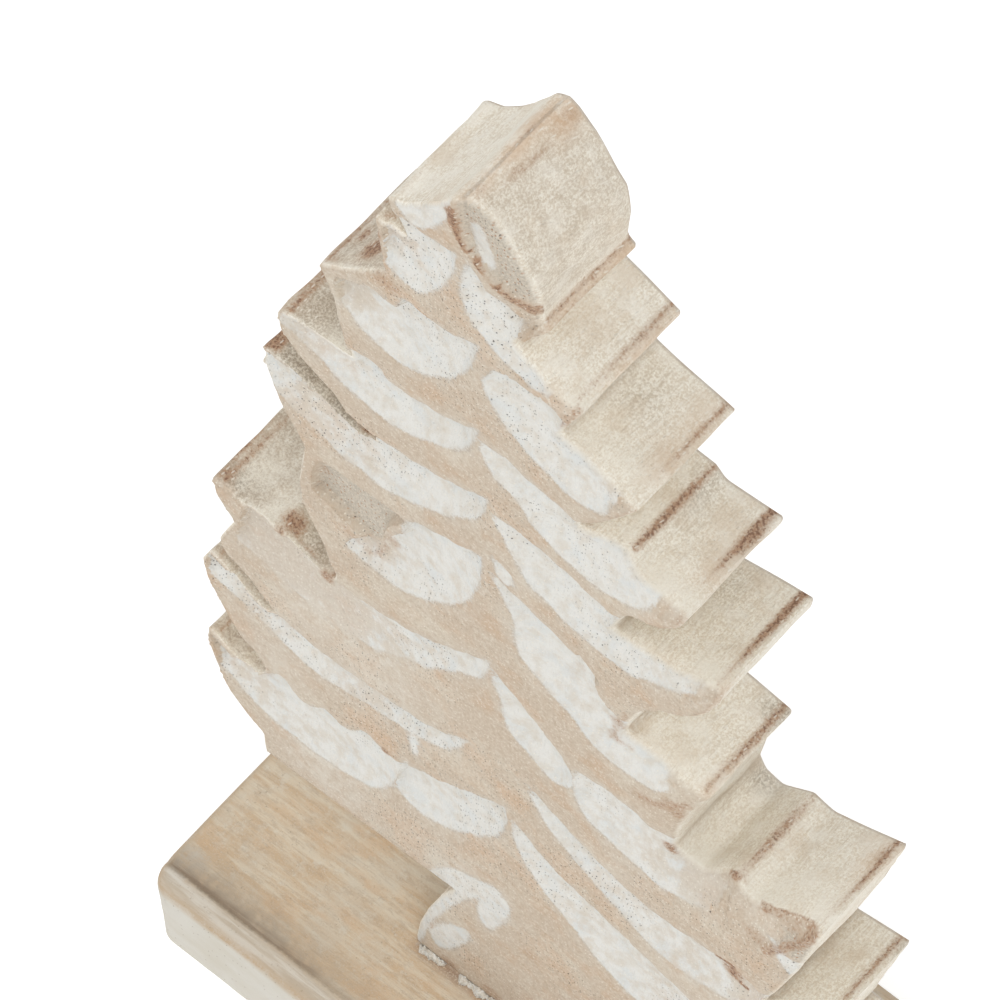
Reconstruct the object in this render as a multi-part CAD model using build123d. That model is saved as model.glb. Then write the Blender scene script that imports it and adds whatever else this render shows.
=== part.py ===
from build123d import *
import os

# A hand-carved fir tree board standing on a rectangular base plate, whitewashed wood.
# Millimetres. X runs along the board, Y through its thickness (front is -Y), Z is up.
# The origin is the middle of the underside of the base plate.

# ---- driving dimensions ----
TOTAL_HEIGHT = 350
BASE_LENGTH = 170
BASE_DEPTH = 80
BASE_THICKNESS = 25
BASE_CORNER_RADIUS = 5
BOARD_THICKNESS = 30

BOUGH_UNDERSIDE = 63          # height of the flat underside of the lowest boughs
TRUNK_HALF_TOP = 19           # half the trunk's width where it meets the boughs
TRUNK_HALF_FOOT = 32          # half its width where it stands on the base plate
TRUNK_BULGE = 2               # how far the flared side swells out from a straight line

BAND_WIDTH = 6.2              # sloping band along the front top edge of the base plate
BAND_DROP = 1.2
SCRIBE_WIDTH = 1.4            # scribed line at the back of that band
SCRIBE_DEPTH = 0.8

SCREW_SPACING = 30
SCREW_LENGTH = 50
SCREW_DIAMETER = 4.2
SCREW_HEAD_DIAMETER = 8.4
SCREW_HEAD_HEIGHT = 2.8
SCREW_POINT_LENGTH = 6
SCREW_HEAD_RECESS = 1.5       # the heads are sunk this far above the underside
CLEARANCE_HOLE_DIAMETER = 4.8
RECESS_LENGTH = 4.4           # each arm of the cross recess in a screw head
RECESS_WIDTH = 0.9
RECESS_DEPTH = 1.2
SCREW_POINT_RADIUS = 0.4

GOUGE_RADIUS = 20             # radius of the round carving tool
GOUGE_DEPTH = 2.0

BEAD_SIZE = 1.8               # leg of the triangular bead of filler at the trunk's foot
BEAD_RUNS = ((-30.5, -23.0), (-19.5, -6.5), (-3.5, 11.0), (15.0, 30.0))   # from and to along X

FRONT = -BOARD_THICKNESS / 2
BASE_TOP = BASE_THICKNESS

# Saw-cut outline from the peak down: (x, z). Each bough ends in a tip, then the cut goes back in.
RIGHT_EDGE = (
    (2.8, 348.8), (6.8, 344.6), (11.5, 337.4), (13.5, 334.4), (14, 326), (13, 317.5), (15.2, 315.8),
    (12.5, 315.2), (10.2, 313.5), (9, 310.6), (25, 303),
    (22.8, 298.8), (20.2, 292.6), (18, 287), (37, 281.5),
    (33.8, 276.8), (29.5, 270.4), (26.2, 266.4), (22.5, 262.6), (21.5, 259), (32.5, 258.5), (35, 255.5), (48, 255),
    (47.2, 252.2), (45.6, 249.4), (43, 246.4), (39.7, 244.4), (36.1, 243), (33.4, 240), (30.5, 233), (28, 226.3),
    (55, 233), (54.4, 229.5), (52.6, 225.2), (49.8, 220.6), (46, 216.5), (41, 212.4), (35.5, 204.6), (32, 196.4),
    (28.8, 185.5), (49, 181.5), (47.5, 178.5), (45.5, 174.5), (43.4, 167.2),
    (40.5, 153.5), (42, 149.5), (46, 148.5), (54, 155), (59, 153), (77, 161),
    (71.5, 140), (63.5, 118), (78, 121),
    (68, 86), (83, 85), (82, 76), (70.5, 67),
)
LEFT_EDGE = (
    (-2.3, 348.8), (-6, 343), (-9.8, 338.4), (-14, 334.8), (-18, 333.5), (-17.5, 330),
    (-14.5, 322), (-21.5, 323.5),
    (-20, 306), (-37, 291.5), (-34, 283),
    (-32, 262), (-50, 260.5), (-49.7, 255.5), (-44.7, 250), (-37, 245.5), (-34.5, 241.5), (-28, 239.6),
    (-28, 235.7), (-36, 237.2), (-43, 240.3), (-49, 242.8), (-55, 243.2), (-55.7, 236), (-52.4, 226),
    (-47, 215), (-50, 198), (-49.5, 190), (-45.5, 180), (-42.5, 169),
    (-44, 164.8), (-48, 164.8), (-53, 167), (-57.5, 170), (-67, 169), (-75, 171.5), (-74.5, 166),
    (-70, 159.5), (-74, 150), (-75.5, 146), (-74, 142.5), (-68, 139.5), (-64.5, 135.5), (-61, 132.2),
    (-62, 130.6), (-67, 128.6), (-71, 131.4), (-75, 136.2), (-78.5, 138), (-81.4, 131.5), (-80.8, 126),
    (-76.9, 116.5), (-73, 109.2), (-69, 107.2), (-66.8, 103),
    (-67.8, 99.2), (-72.2, 95.4), (-77.4, 97.6), (-80.5, 101), (-82.8, 101.4), (-83.4, 96), (-81.8, 88),
    (-79.2, 79.5), (-74.5, 74), (-70.5, 71),
)

# Carved strokes on the front, each an arc from the spine, through its lowest point, to the bough's tip.
LEFT_STROKES = (
    ((-2, 300), (-13, 293), (-28, 290)),
    ((-4, 268), (-22, 255), (-44, 258)),
    ((-3, 246), (-27, 232), (-52, 240)),
    ((-5, 210), (-20, 199), (-34, 194)),
    ((-4, 172), (-20, 160), (-38, 162)),
    ((-12, 137), (-42, 120), (-76, 130)),
    ((-4, 112), (-17, 103), (-30, 100)),
    ((-32, 96), (-56, 84), (-78, 94)),
)
RIGHT_STROKES = (
    ((2, 326), (9, 312), (20, 306)),
    ((4, 292), (15, 281), (32, 279)),
    ((4, 264), (18, 251), (42, 253)),
    ((4, 234), (22, 221), (50, 231)),
    ((3, 206), (22, 184), (46, 184)),
    ((18, 152), (44, 138), (72, 148)),
    ((6, 134), (32, 112), (72, 118)),
    ((4, 108), (26, 86), (74, 92)),
)


def board_outline(foot_left, foot_right, shoulder_left, shoulder_right):
    """The closed outline of the board: both saw-cut edges, the flat undersides and the flared trunk."""
    peak = (0, TOTAL_HEIGHT)
    right = Polyline(peak, *RIGHT_EDGE, (70.5, BOUGH_UNDERSIDE), shoulder_right)
    left = Polyline(peak, *LEFT_EDGE, (-70.5, BOUGH_UNDERSIDE), shoulder_left)
    right_flare = ThreePointArc(shoulder_right, flare_middle(1), foot_right)
    left_flare = ThreePointArc(shoulder_left, flare_middle(-1), foot_left)
    foot = Line(foot_left, foot_right)
    return Wire(right.edges() + left.edges() + [right_flare, left_flare, foot])


def flare_middle(side):
    """The middle point of the curved side of the trunk."""
    across = (TRUNK_HALF_TOP + TRUNK_HALF_FOOT) / 2 + TRUNK_BULGE
    up = (BOUGH_UNDERSIDE + BASE_TOP) / 2
    return (side * across, up)


def board_blank():
    """The sawn board before carving."""
    outline = board_outline(
        (-TRUNK_HALF_FOOT, BASE_TOP),
        (TRUNK_HALF_FOOT, BASE_TOP),
        (-TRUNK_HALF_TOP, BOUGH_UNDERSIDE),
        (TRUNK_HALF_TOP, BOUGH_UNDERSIDE),
    )
    flat = extrude(Face(outline), BOARD_THICKNESS / 2, both=True)
    return Rot(X=90) * flat


def gouge(stroke):
    """A round tool swept along one stroke, standing in front of the board so that it only cuts its depth."""
    stand_off = FRONT - GOUGE_RADIUS + GOUGE_DEPTH
    start, middle, end = [Vector(x, stand_off, z) for x, z in stroke]
    path = ThreePointArc(start, middle, end)
    section = Plane(origin=path @ 0, z_dir=path % 0) * Circle(GOUGE_RADIUS)
    ends = [Pos(point) * Sphere(GOUGE_RADIUS) for point in (start, end)]
    return [sweep(section, path), *ends]


def screw_places():
    """Where the fixing screws stand."""
    return [(-SCREW_SPACING / 2, 0), (SCREW_SPACING / 2, 0)]


def tree_board():
    """The carved board with its screw holes."""
    board = board_blank()
    for stroke in LEFT_STROKES + RIGHT_STROKES:
        for cutter in gouge(stroke):
            board -= cutter
    for x, y in screw_places():
        board -= Pos(x, y) * screw_shank(BASE_TOP)
    return board


def screw_shank(bottom):
    """The part of a screw above a given height: a plain shank with a pointed end."""
    tip = SCREW_HEAD_RECESS + SCREW_LENGTH
    straight = tip - SCREW_POINT_LENGTH - bottom
    radius = SCREW_DIAMETER / 2
    shank = Pos(Z=bottom + straight / 2) * Cylinder(radius, straight)
    point = Pos(Z=tip - SCREW_POINT_LENGTH / 2) * Cone(radius, SCREW_POINT_RADIUS, SCREW_POINT_LENGTH)
    return shank + point


def fixing_screws():
    """Two countersunk wood screws driven up through the base plate into the trunk."""
    screws = []
    for x, y in screw_places():
        head_middle = SCREW_HEAD_RECESS + SCREW_HEAD_HEIGHT / 2
        head = Pos(Z=head_middle) * Cone(SCREW_HEAD_DIAMETER / 2, SCREW_DIAMETER / 2, SCREW_HEAD_HEIGHT)
        screw = head + screw_shank(SCREW_HEAD_RECESS + SCREW_HEAD_HEIGHT)
        screw -= Pos(Z=SCREW_HEAD_RECESS) * cross_recess()
        screws.append(Pos(x, y) * screw)
    return Compound(children=screws)


def cross_recess():
    """The cross that a screwdriver fits, centred on the head's flat face."""
    arm = Box(RECESS_LENGTH, RECESS_WIDTH, 2 * RECESS_DEPTH)
    return arm + Rot(Z=90) * arm


def base_plate():
    """The base plate: rounded corners, a sloping front band behind a scribed line, and screw holes."""
    blank = Pos(Z=BASE_THICKNESS / 2) * Box(BASE_LENGTH, BASE_DEPTH, BASE_THICKNESS)
    plate = fillet(blank.edges().filter_by(Axis.Z), BASE_CORNER_RADIUS)
    plate -= front_band()
    plate -= scribed_line()
    for x, y in screw_places():
        plate -= Pos(x, y) * screw_hole()
    return plate


def front_band():
    """The wedge planed off the front top edge."""
    edge = -BASE_DEPTH / 2
    wedge = Polyline(
        (edge - 1, BASE_THICKNESS - BAND_DROP * (BAND_WIDTH + 1) / BAND_WIDTH),
        (edge + BAND_WIDTH, BASE_THICKNESS),
        (edge - 1, BASE_THICKNESS + 1),
        close=True,
    )
    return along_base(wedge)


def scribed_line():
    """A V groove along the back of the band."""
    middle = -BASE_DEPTH / 2 + BAND_WIDTH
    half = SCRIBE_WIDTH / 2
    groove = Polyline(
        (middle - half, BASE_THICKNESS + 0.01),
        (middle, BASE_THICKNESS - SCRIBE_DEPTH),
        (middle + half, BASE_THICKNESS + 0.01),
        close=True,
    )
    return along_base(groove)


def along_base(section):
    """A prism along X from a closed outline drawn as (y, z)."""
    return extrude(Plane.YZ * Face(Wire(section.edges())), BASE_LENGTH, both=True)


def screw_hole():
    """A clearance hole with a countersink that seats the screw head."""
    through = Pos(Z=BASE_THICKNESS / 2) * Cylinder(CLEARANCE_HOLE_DIAMETER / 2, BASE_THICKNESS)
    seat_middle = SCREW_HEAD_RECESS + SCREW_HEAD_HEIGHT / 2
    seat = Pos(Z=seat_middle) * Cone(SCREW_HEAD_DIAMETER / 2, SCREW_DIAMETER / 2, SCREW_HEAD_HEIGHT)
    mouth = Pos(Z=SCREW_HEAD_RECESS / 2) * Cylinder(SCREW_HEAD_DIAMETER / 2, SCREW_HEAD_RECESS)
    return through + seat + mouth


def filler_bead():
    """Dried filler squeezed out along the front of the joint, broken into short runs."""
    runs = []
    for start, end in BEAD_RUNS:
        triangle = Polyline(
            (FRONT, BASE_TOP),
            (FRONT - BEAD_SIZE, BASE_TOP),
            (FRONT, BASE_TOP + BEAD_SIZE),
            close=True,
        )
        profile = Plane.YZ * Face(Wire(triangle.edges()))
        runs.append(Pos(X=start) * extrude(profile, end - start, dir=(1, 0, 0)))
    return Compound(children=runs)


os.makedirs("parts", exist_ok=True)
export_step(tree_board(), "parts/tree_board.step")
export_step(base_plate(), "parts/base_plate.step")
export_step(fixing_screws(), "parts/fixing_screws.step")
export_step(filler_bead(), "parts/filler_bead.step")
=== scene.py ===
import math
from types import SimpleNamespace

import bpy
import numpy as np
from mathutils import Matrix, Vector, kdtree
from mathutils.geometry import delaunay_2d_cdt


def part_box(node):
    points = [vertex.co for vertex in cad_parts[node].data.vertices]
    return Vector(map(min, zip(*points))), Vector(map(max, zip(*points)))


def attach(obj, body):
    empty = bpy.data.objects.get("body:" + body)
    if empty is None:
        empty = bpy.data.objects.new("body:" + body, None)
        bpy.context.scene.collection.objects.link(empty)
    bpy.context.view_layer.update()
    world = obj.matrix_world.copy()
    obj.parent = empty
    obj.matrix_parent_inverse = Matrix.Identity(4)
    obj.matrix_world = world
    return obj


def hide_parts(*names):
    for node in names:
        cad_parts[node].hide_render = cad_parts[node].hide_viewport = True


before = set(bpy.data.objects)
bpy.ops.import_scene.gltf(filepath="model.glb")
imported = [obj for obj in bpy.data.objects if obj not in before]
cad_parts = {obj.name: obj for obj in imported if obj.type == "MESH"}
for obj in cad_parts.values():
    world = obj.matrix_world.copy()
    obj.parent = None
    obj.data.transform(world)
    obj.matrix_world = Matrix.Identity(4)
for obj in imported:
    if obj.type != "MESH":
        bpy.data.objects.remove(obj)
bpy.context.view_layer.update()
random = np.random.default_rng(11)

# All shapes below are in millimetres; meshes are scaled to metres when they are made.
# X runs along the board, Y through its thickness (the carved front is at -Y), Z is up.
MM = 0.001
HALF_THICKNESS = 15.0
BASE_TOP = 25.0

# ---- the board's saw-cut outline, the same corners as the CAD part ----
PEAK = (0.3, 350)
RIGHT_EDGE = (
    (2.8, 348.8), (6.8, 344.6), (11.5, 337.4), (13.5, 334.4), (14, 326), (13, 317.5), (15.2, 315.8),
    (12.5, 315.2), (10.2, 313.5), (9, 310.6), (25, 303),
    (22.8, 298.8), (20.2, 292.6), (18, 287), (37, 281.5),
    (33.8, 276.8), (29.5, 270.4), (26.2, 266.4), (22.5, 262.6), (21.5, 259), (32.5, 258.5), (35, 255.5),
    (48, 255),
    (47.2, 252.2), (45.6, 249.4), (43, 246.4), (39.7, 244.4), (36.1, 243), (33.4, 240), (30.5, 233),
    (28, 226.3),
    (55, 233), (54.4, 229.5), (52.6, 225.2), (49.8, 220.6), (46, 216.5), (41, 212.4), (35.5, 204.6),
    (32, 196.4),
    (28.8, 185.5), (49, 181.5), (47.5, 178.5), (45.5, 174.5), (43.4, 167.2),
    (40.5, 153.5), (42, 149.5), (46, 148.5), (54, 155), (59, 153), (77, 161),
    (71.5, 140), (63.5, 118), (78, 121),
    (68, 86), (83, 85), (82, 76), (70.5, 67),
)
RIGHT_FOOT = ((70.5, 63), (19, 63), (23.8, 54), (27.6, 44), (30.4, 34.5), (32, 25))
LEFT_EDGE = (
    (-2.3, 348.8), (-6, 343), (-9.8, 338.4), (-14, 334.8), (-18, 333.5), (-17.5, 330),
    (-14.5, 322), (-21.5, 323.5),
    (-20, 306), (-37, 291.5), (-34, 283),
    (-32, 262), (-50, 260.5), (-49.7, 255.5), (-44.7, 250), (-37, 245.5), (-34.5, 241.5), (-28, 239.6),
    (-28, 235.7), (-36, 237.2), (-43, 240.3), (-49, 242.8), (-55, 243.2), (-55.7, 236), (-52.4, 226),
    (-47, 215), (-50, 198), (-49.5, 190), (-45.5, 180), (-42.5, 169),
    (-44, 164.8), (-48, 164.8), (-53, 167), (-57.5, 170), (-67, 169), (-75, 171.5), (-74.5, 166),
    (-70, 159.5), (-74, 150), (-75.5, 146), (-74, 142.5), (-68, 139.5), (-64.5, 135.5), (-61, 132.2),
    (-62, 130.6), (-67, 128.6), (-71, 131.4), (-75, 136.2), (-78.5, 138), (-81.4, 131.5), (-80.8, 126),
    (-76.9, 116.5), (-73, 109.2), (-69, 107.2), (-66.8, 103),
    (-67.8, 99.2), (-72.2, 95.4), (-77.4, 97.6), (-80.5, 101), (-82.8, 101.4), (-83.4, 96), (-81.8, 88),
    (-79.2, 79.5), (-74.5, 74), (-70.5, 71),
)
LEFT_FOOT = ((-70.5, 63), (-19, 63), (-23.8, 54), (-27.6, 44), (-30.4, 34.5), (-32, 25))

# How far back the front edge of the board is cut at places along the outline: (x, z, depth).
EDGE_DEPTHS = (
    (0.3, 350, 0.8), (2.8, 348.8, 2.0), (5, 346, 2.6), (8, 342.6, 2.6), (11.5, 337.4, 2.2), (14, 331, 2.6),
    (13.4, 320.5, 5.0), (15.2, 315.8, 5.0), (12.5, 315.2, 1.5), (9, 310.6, 1.2), (12, 309.2, 0.8),
    (18, 306.3, 0.4), (21.6, 304.6, 1.2), (25, 303, 1.9), (22.8, 298.8, 0.6), (18, 287, 2.0),
    (22.4, 285.8, 2.1), (28.3, 283.9, 1.9), (34.6, 282.1, 1.8), (37, 281.5, 1.6), (33.8, 276.8, 0.7),
    (26.2, 266.4, 0.6), (22.5, 262.6, 1.0), (23, 259, 1.4), (26.6, 258.8, 2.6), (28.7, 258.7, 3.4),
    (31, 258.6, 3.2), (33, 257.5, 2.8), (35.5, 255.5, 2.2), (37, 255.4, 1.6), (41, 255.2, 2.2),
    (45, 255.1, 2.4), (48, 255, 1.8), (45.6, 249.4, 0.7), (36.1, 243, 0.7), (30.5, 233, 1.2),
    (28, 226.3, 1.9), (31, 227, 2.0), (35, 228, 1.7), (40, 229.2, 1.7), (43.5, 230.1, 1.4),
    (47.7, 231.2, 2.2), (53, 232.5, 2.9), (55, 233, 2.6), (52.6, 225.2, 0.8), (46, 216.5, 0.7),
    (35.5, 204.6, 1.2), (32, 196.4, 2.0), (28.8, 185.5, 2.7), (33.5, 184.6, 2.9), (38, 183.7, 3.2),
    (43, 182.7, 3.1), (46.4, 182, 3.8), (49, 181.5, 4.2), (45.5, 174.5, 2.4), (43.4, 167.2, 2.0),
    (40.5, 153.5, 2.6), (43.5, 149.2, 4.0), (48.3, 150, 4.4), (52, 153.2, 5.6), (54, 155, 5.6),
    (57, 153.8, 4.2), (61, 153.9, 4.2), (64.5, 155.4, 4.1), (70, 157.9, 5.0), (73.5, 159.4, 5.2),
    (77, 161, 3.4), (75, 153, 3.0), (71.5, 140, 2.6), (67, 128, 0.8), (63.5, 118, 1.0), (78, 121, 1.8),
    (68, 86, 0.6), (83, 85, 1.0), (70.5, 67, 0.3), (19, 63, 0.1), (32, 25, 0.1), (-32, 25, 0.5),
    (-19, 63, 1.2), (-70.5, 63, 0.2), (-83.5, 96, 0.2), (-67, 106, 0.0), (-81.5, 130, 0.1),
    (-61, 132.5, 0.0), (-74, 150, 0.0), (-75, 171.5, 0.3), (-67, 169, 0.3), (-43, 167, 0.0),
    (-50, 198, 0.2), (-55, 243.2, 0.0), (-28, 238, 0.0), (-50, 260.5, 0.0), (-32, 262, 0.0),
    (-37, 291.5, 0.0), (-20, 306, 0.2), (-18, 333.5, 0.9), (-9.8, 338.4, 1.0),
)
# The same for the back edge, where corners have been knocked off.
BACK_DEPTHS = (
    (-21.5, 323.5, 0.2), (-18, 333.5, 2.5), (-9.8, 338.4, 1.3), (-2.3, 348.8, 0.3), (0.3, 350, 0.1),
    (11.5, 337.4, 0.3), (15.2, 315.8, 0.4), (25, 303, 0.2), (37, 281.5, 0.3), (34, 256.5, 1.2),
    (48, 255, 0.4), (55, 233, 0.5), (49, 181.5, 0.4), (54, 155, 0.6), (77, 161, 0.3), (78, 121, 0.4),
    (83, 85, 0.2), (0, 25, 0.0), (-83, 96, 0.3), (-75, 171.5, 0.3), (-55, 243, 0.2), (-37, 291.5, 0.3),
)

# ---- carved strokes on the front: lower edge, upper edge (both from the spine outwards), depth, wall ----
STROKES = (
    # left of the spine, from the top
    (((-2, 348), (-3, 342), (-6.5, 336), (-11, 332), (-15, 335)),
     ((-2, 352), (-6, 349), (-10, 344), (-16, 339)), 1.6, 0.8),
    (((-1.6, 331), (-3.3, 322), (-6, 316), (-10, 310), (-14, 308.5), (-19, 311)),
     ((-2, 331.5), (-6, 330.5), (-11, 330.5), (-19, 330)), 2.0, 0.7),
    (((2, 303.5), (0.4, 297), (-3.3, 288), (-10, 281), (-18, 277), (-26, 279), (-32, 283)),
     ((2, 304), (-6.7, 300.8), (-16, 301.3), (-18, 296), (-24, 296), (-33, 291)), 2.4, 0.7),
    (((0, 271.5), (-1, 267.5), (-4, 261), (-10, 256), (-20, 251), (-28, 251), (-38, 254), (-49, 258)),
     ((0, 272), (-8, 267.5), (-21, 265.3), (-24, 268), (-30, 268), (-35, 264), (-50, 264)), 2.3, 0.7),
    (((1, 247.5), (-1, 239), (-4, 235.5), (-10, 230), (-20, 224.5), (-28, 222), (-38, 223), (-50, 227.5),
      (-55.5, 234)),
     ((1, 248), (-10, 243), (-20, 240.5), (-28, 239.5), (-31, 236), (-40, 238.5), (-49, 242),
      (-55.8, 242)), 2.2, 0.9),
    (((-2, 222.5), (-2.7, 213.5), (-5.5, 203.5), (-9, 197), (-17, 189), (-23, 185.5), (-30, 184.5),
      (-38, 186)),
     ((-2, 223), (-8, 221), (-20, 216), (-23.5, 207), (-30, 199), (-38, 189)), 2.3, 0.7),
    (((-2.5, 180.5), (-4.5, 173), (-12, 166.5), (-21, 158), (-30, 151), (-42, 147), (-56, 148), (-70, 152)),
     ((-2.5, 181), (-10, 176), (-20, 170.5), (-30, 167.5), (-41, 166), (-50, 168), (-66, 170)), 1.6, 0.8),
    (((-10.5, 139), (-14, 132), (-20, 127), (-35, 122), (-50, 119.5), (-62, 122), (-79, 129)),
     ((-10.5, 139.5), (-20, 133.3), (-30, 131), (-50, 130), (-60, 132), (-66, 129), (-73, 134),
      (-80, 136.5)), 1.8, 0.8),
    (((-1.6, 121.5), (-1.7, 115), (-4, 107.5), (-10, 100), (-20, 92), (-28, 91), (-31.5, 94)),
     ((-1.6, 122), (-10, 117.5), (-20, 111.5), (-28, 108), (-31.5, 104)), 2.2, 0.7),
    (((-28, 109), (-30, 103), (-32.5, 95), (-37, 87), (-43, 83.5), (-55, 81), (-68, 82), (-80, 88)),
     ((-28, 109.5), (-32, 105.5), (-40, 107.5), (-45, 102.5), (-51, 103.5), (-57, 99.5), (-62.5, 104),
      (-67, 100.5), (-70, 97), (-76, 96.5), (-82, 99.5)), 2.0, 0.8),
    # right of the spine, from the top
    (((1.0, 331.5), (-0.8, 324), (0, 315), (5, 308.5), (11, 305.3), (15, 304.2), (19, 305.2)),
     ((1.0, 332), (4, 327), (9, 320), (13, 313), (16, 312), (20, 308)), 2.2, 0.8),
    (((2.3, 293), (4, 287.5), (9, 281), (15, 277), (21.7, 274), (27, 274), (31.5, 277.5), (33.5, 282)),
     ((2.3, 293.5), (5, 298.5), (9, 300.5), (20, 300.5), (25, 294), (34.5, 287)), 2.5, 0.8),
    (((0, 267.5), (3, 260), (9, 256.5), (13, 251), (20, 247.5), (27.5, 246), (34, 247.3), (39.5, 251),
      (42.3, 256)),
     ((0, 268), (6.7, 268.5), (12.5, 266.5), (19, 265.8), (25, 262.5), (30, 264), (42.5, 260)), 2.4, 0.8),
    (((1.7, 243), (6, 234.5), (10, 227), (14.5, 225), (21, 222), (32.7, 220.5), (40, 223), (47.5, 228.5),
      (51, 232.5)),
     ((1.7, 243.5), (10, 243.5), (20, 241.5), (29, 238.5), (40, 238), (51.5, 238)), 2.6, 0.8),
    (((1, 226.5), (2, 221.5), (4, 219.5)), ((1, 227), (5, 224), (6, 221)), 0.9, 0.6),
    (((0.5, 219), (5, 208), (5.5, 197), (9, 192), (19, 184.5), (24.5, 179.5), (33.6, 178.4), (40, 180.2),
      (43.5, 183)),
     ((0.5, 219.5), (10, 215), (20, 210.5), (24, 205), (28, 199), (34, 191), (44, 188)), 3.0, 0.8),
    (((-2.5, 178.5), (0, 169), (1, 160), (6.4, 155), (12.7, 151), (16.5, 153)),
     ((-2.5, 179), (10, 168.5), (16.4, 161.5), (17.5, 155)), 2.2, 0.7),
    (((17.5, 157), (18.5, 150), (20.5, 146), (26.4, 143), (33.6, 141), (40, 140), (52, 143)),
     ((17.5, 158), (19.5, 162.5), (30, 163.5), (40, 160), (53, 152)), 2.0, 0.8),
    (((5, 138.5), (10, 129), (20, 119.5), (30, 113), (35.5, 109.5), (43, 108), (52, 110), (66, 117)),
     ((5, 139), (15.5, 132.5), (28, 127.5), (40, 125.5), (56, 127), (68, 124)), 2.2, 0.6),
    (((0, 118.5), (0.8, 109), (6, 99), (14, 91), (21, 84.5), (28, 80.5), (40, 76), (55, 73.5), (74, 77)),
     ((0, 119), (10, 110.5), (20, 106.5), (30, 103), (42, 98.5), (55, 95.5), (72, 93)), 1.9, 0.7),
)
# Hollows with a flat floor: outline points, depth, wall
HOLLOWS = (
    (((-1.2, 351), (-1.5, 345), (-1.4, 339.5), (0, 335.6), (2.2, 333), (4.6, 330.4), (7.5, 328),
      (12, 326.5), (18, 325), (18, 345), (8, 355)), 2.4, 0.9),
    (((-46.8, 198), (-41.6, 196.5), (-36.6, 194.2), (-31, 192.5), (-28.6, 199.5), (-26.3, 206.5),
      (-21.9, 214.3), (-33, 214.3), (-42.8, 213), (-46, 206)), 2.4, 0.6),
    (((21, 212.5), (20.5, 208.5), (24.5, 204), (26, 207)), 2.2, 0.8),
    (((67, 155), (70, 147), (76, 142), (80, 150), (80, 156)), 2.4, 1.2),
)

# White paint that lies outside the strokes: outline points as seen from the front.
WHITE_PATCHES = (
    ((-11.4, 71.7), (-5.1, 79.7), (-2.3, 77.0), (-4.3, 69.0), (-8.9, 59.5), (-12, 62.4)),
    ((-38, 20), (-30.2, 27), (-26.6, 39), (-21.6, 51.5), (-16.3, 62.8), (-12, 69.6), (-5, 79), (-6, 82),
     (-12, 79), (-18, 76), (-24, 68), (-32, 52), (-38, 36)),
    ((-27.3, 36.9), (-22, 46), (-15.6, 50.8), (-15.7, 45.3), (-21.4, 34.6), (-25.4, 31.6)),
    ((-27, 124), (-24, 124), (-24.5, 117), (-26.5, 116.5)),
    ((3.0, 348.5), (5.6, 349.9), (7.7, 344), (8.8, 338.8), (6.6, 336.8), (4.2, 340.5)),
    ((67, 154), (70, 146), (76, 142), (77, 155)),
)
# Places where paint has worn thin or never reached: (x, z, radius, strength).
WORN_PLACES = (
    (-17, 320, 5, 0.7), (-30, 287, 6, 0.7), (-22, 283, 4, 0.3), (-43, 257, 7, 0.6), (-33, 258, 4, 0.5),
    (-44, 230, 9, 0.7), (-33, 226, 6, 0.5), (-32, 190, 6, 0.6), (-31, 194, 6, 0.9), (-27, 205, 3, 0.6),
    (-46, 156, 14, 0.95), (-60, 158, 14, 1.0), (-30, 156, 8, 0.7), (-20, 166, 4, 0.2), (-66, 126, 8, 0.5),
    (-40, 124, 9, 0.5), (-74, 92, 8, 0.6), (-60, 86, 6, 0.3), (-46, 90, 4, 0.2), (48, 148, 9, 0.9),
    (36, 146, 5, 0.6), (60, 118, 8, 0.7), (48, 116, 4, 0.3), (60, 84, 14, 0.6), (34, 95, 5, 0.3),
    (40, 224, 5, 0.3), (44, 183, 5, 0.7), (30, 281, 4, 0.4), (17, 307, 3, 0.3), (-13, 318, 3, 0.4),
    (26, 116, 14, 0.3), (44, 112, 10, 0.45), (20, 96, 12, 0.25), (44, 90, 14, 0.5), (24, 192, 10, 0.2),
    (32, 150, 10, 0.35),
)
# Brown rubbed or stained places on the front: (x, z, radius, strength).
BROWN_PLACES = (
    (-23, 313, 3.2, 1.0), (-22, 319, 2.6, 0.9), (-20, 304, 4, 0.5), (-45, 205, 2.6, 0.45),
    (-42, 212, 2.0, 0.5), (-25, 203, 2.4, 0.5), (-57, 171, 2, 0.7), (-45, 166, 2.2, 0.8),
    (22.5, 209, 2.2, 0.3), (31, 197, 2.4, 0.6), (30, 190, 2.2, 0.6), (44, 178, 4, 0.6), (36, 173, 4, 0.4),
    (42.7, 160, 2.2, 0.9), (59.5, 168, 2.2, 0.8), (74, 165, 4.5, 0.45), (70, 152, 2.4, 0.6),
    (64, 150, 4, 0.5), (58, 126, 3, 0.8), (-34, 107, 1.6, 0.8), (-68, 103, 4, 0.4), (-78, 136, 3, 0.3),
    (-52, 247, 2, 0.4), (50, 250, 3, 0.3), (37, 278, 2.6, 0.5), (25, 301, 2.6, 0.4), (-18, 304, 2.5, 0.5),
    (-10, 28, 4, 0.6), (5, 27, 4, 0.6), (-22, 27, 3, 0.6), (20, 28, 4, 0.5), (2, 62, 3, 0.4),
)
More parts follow.
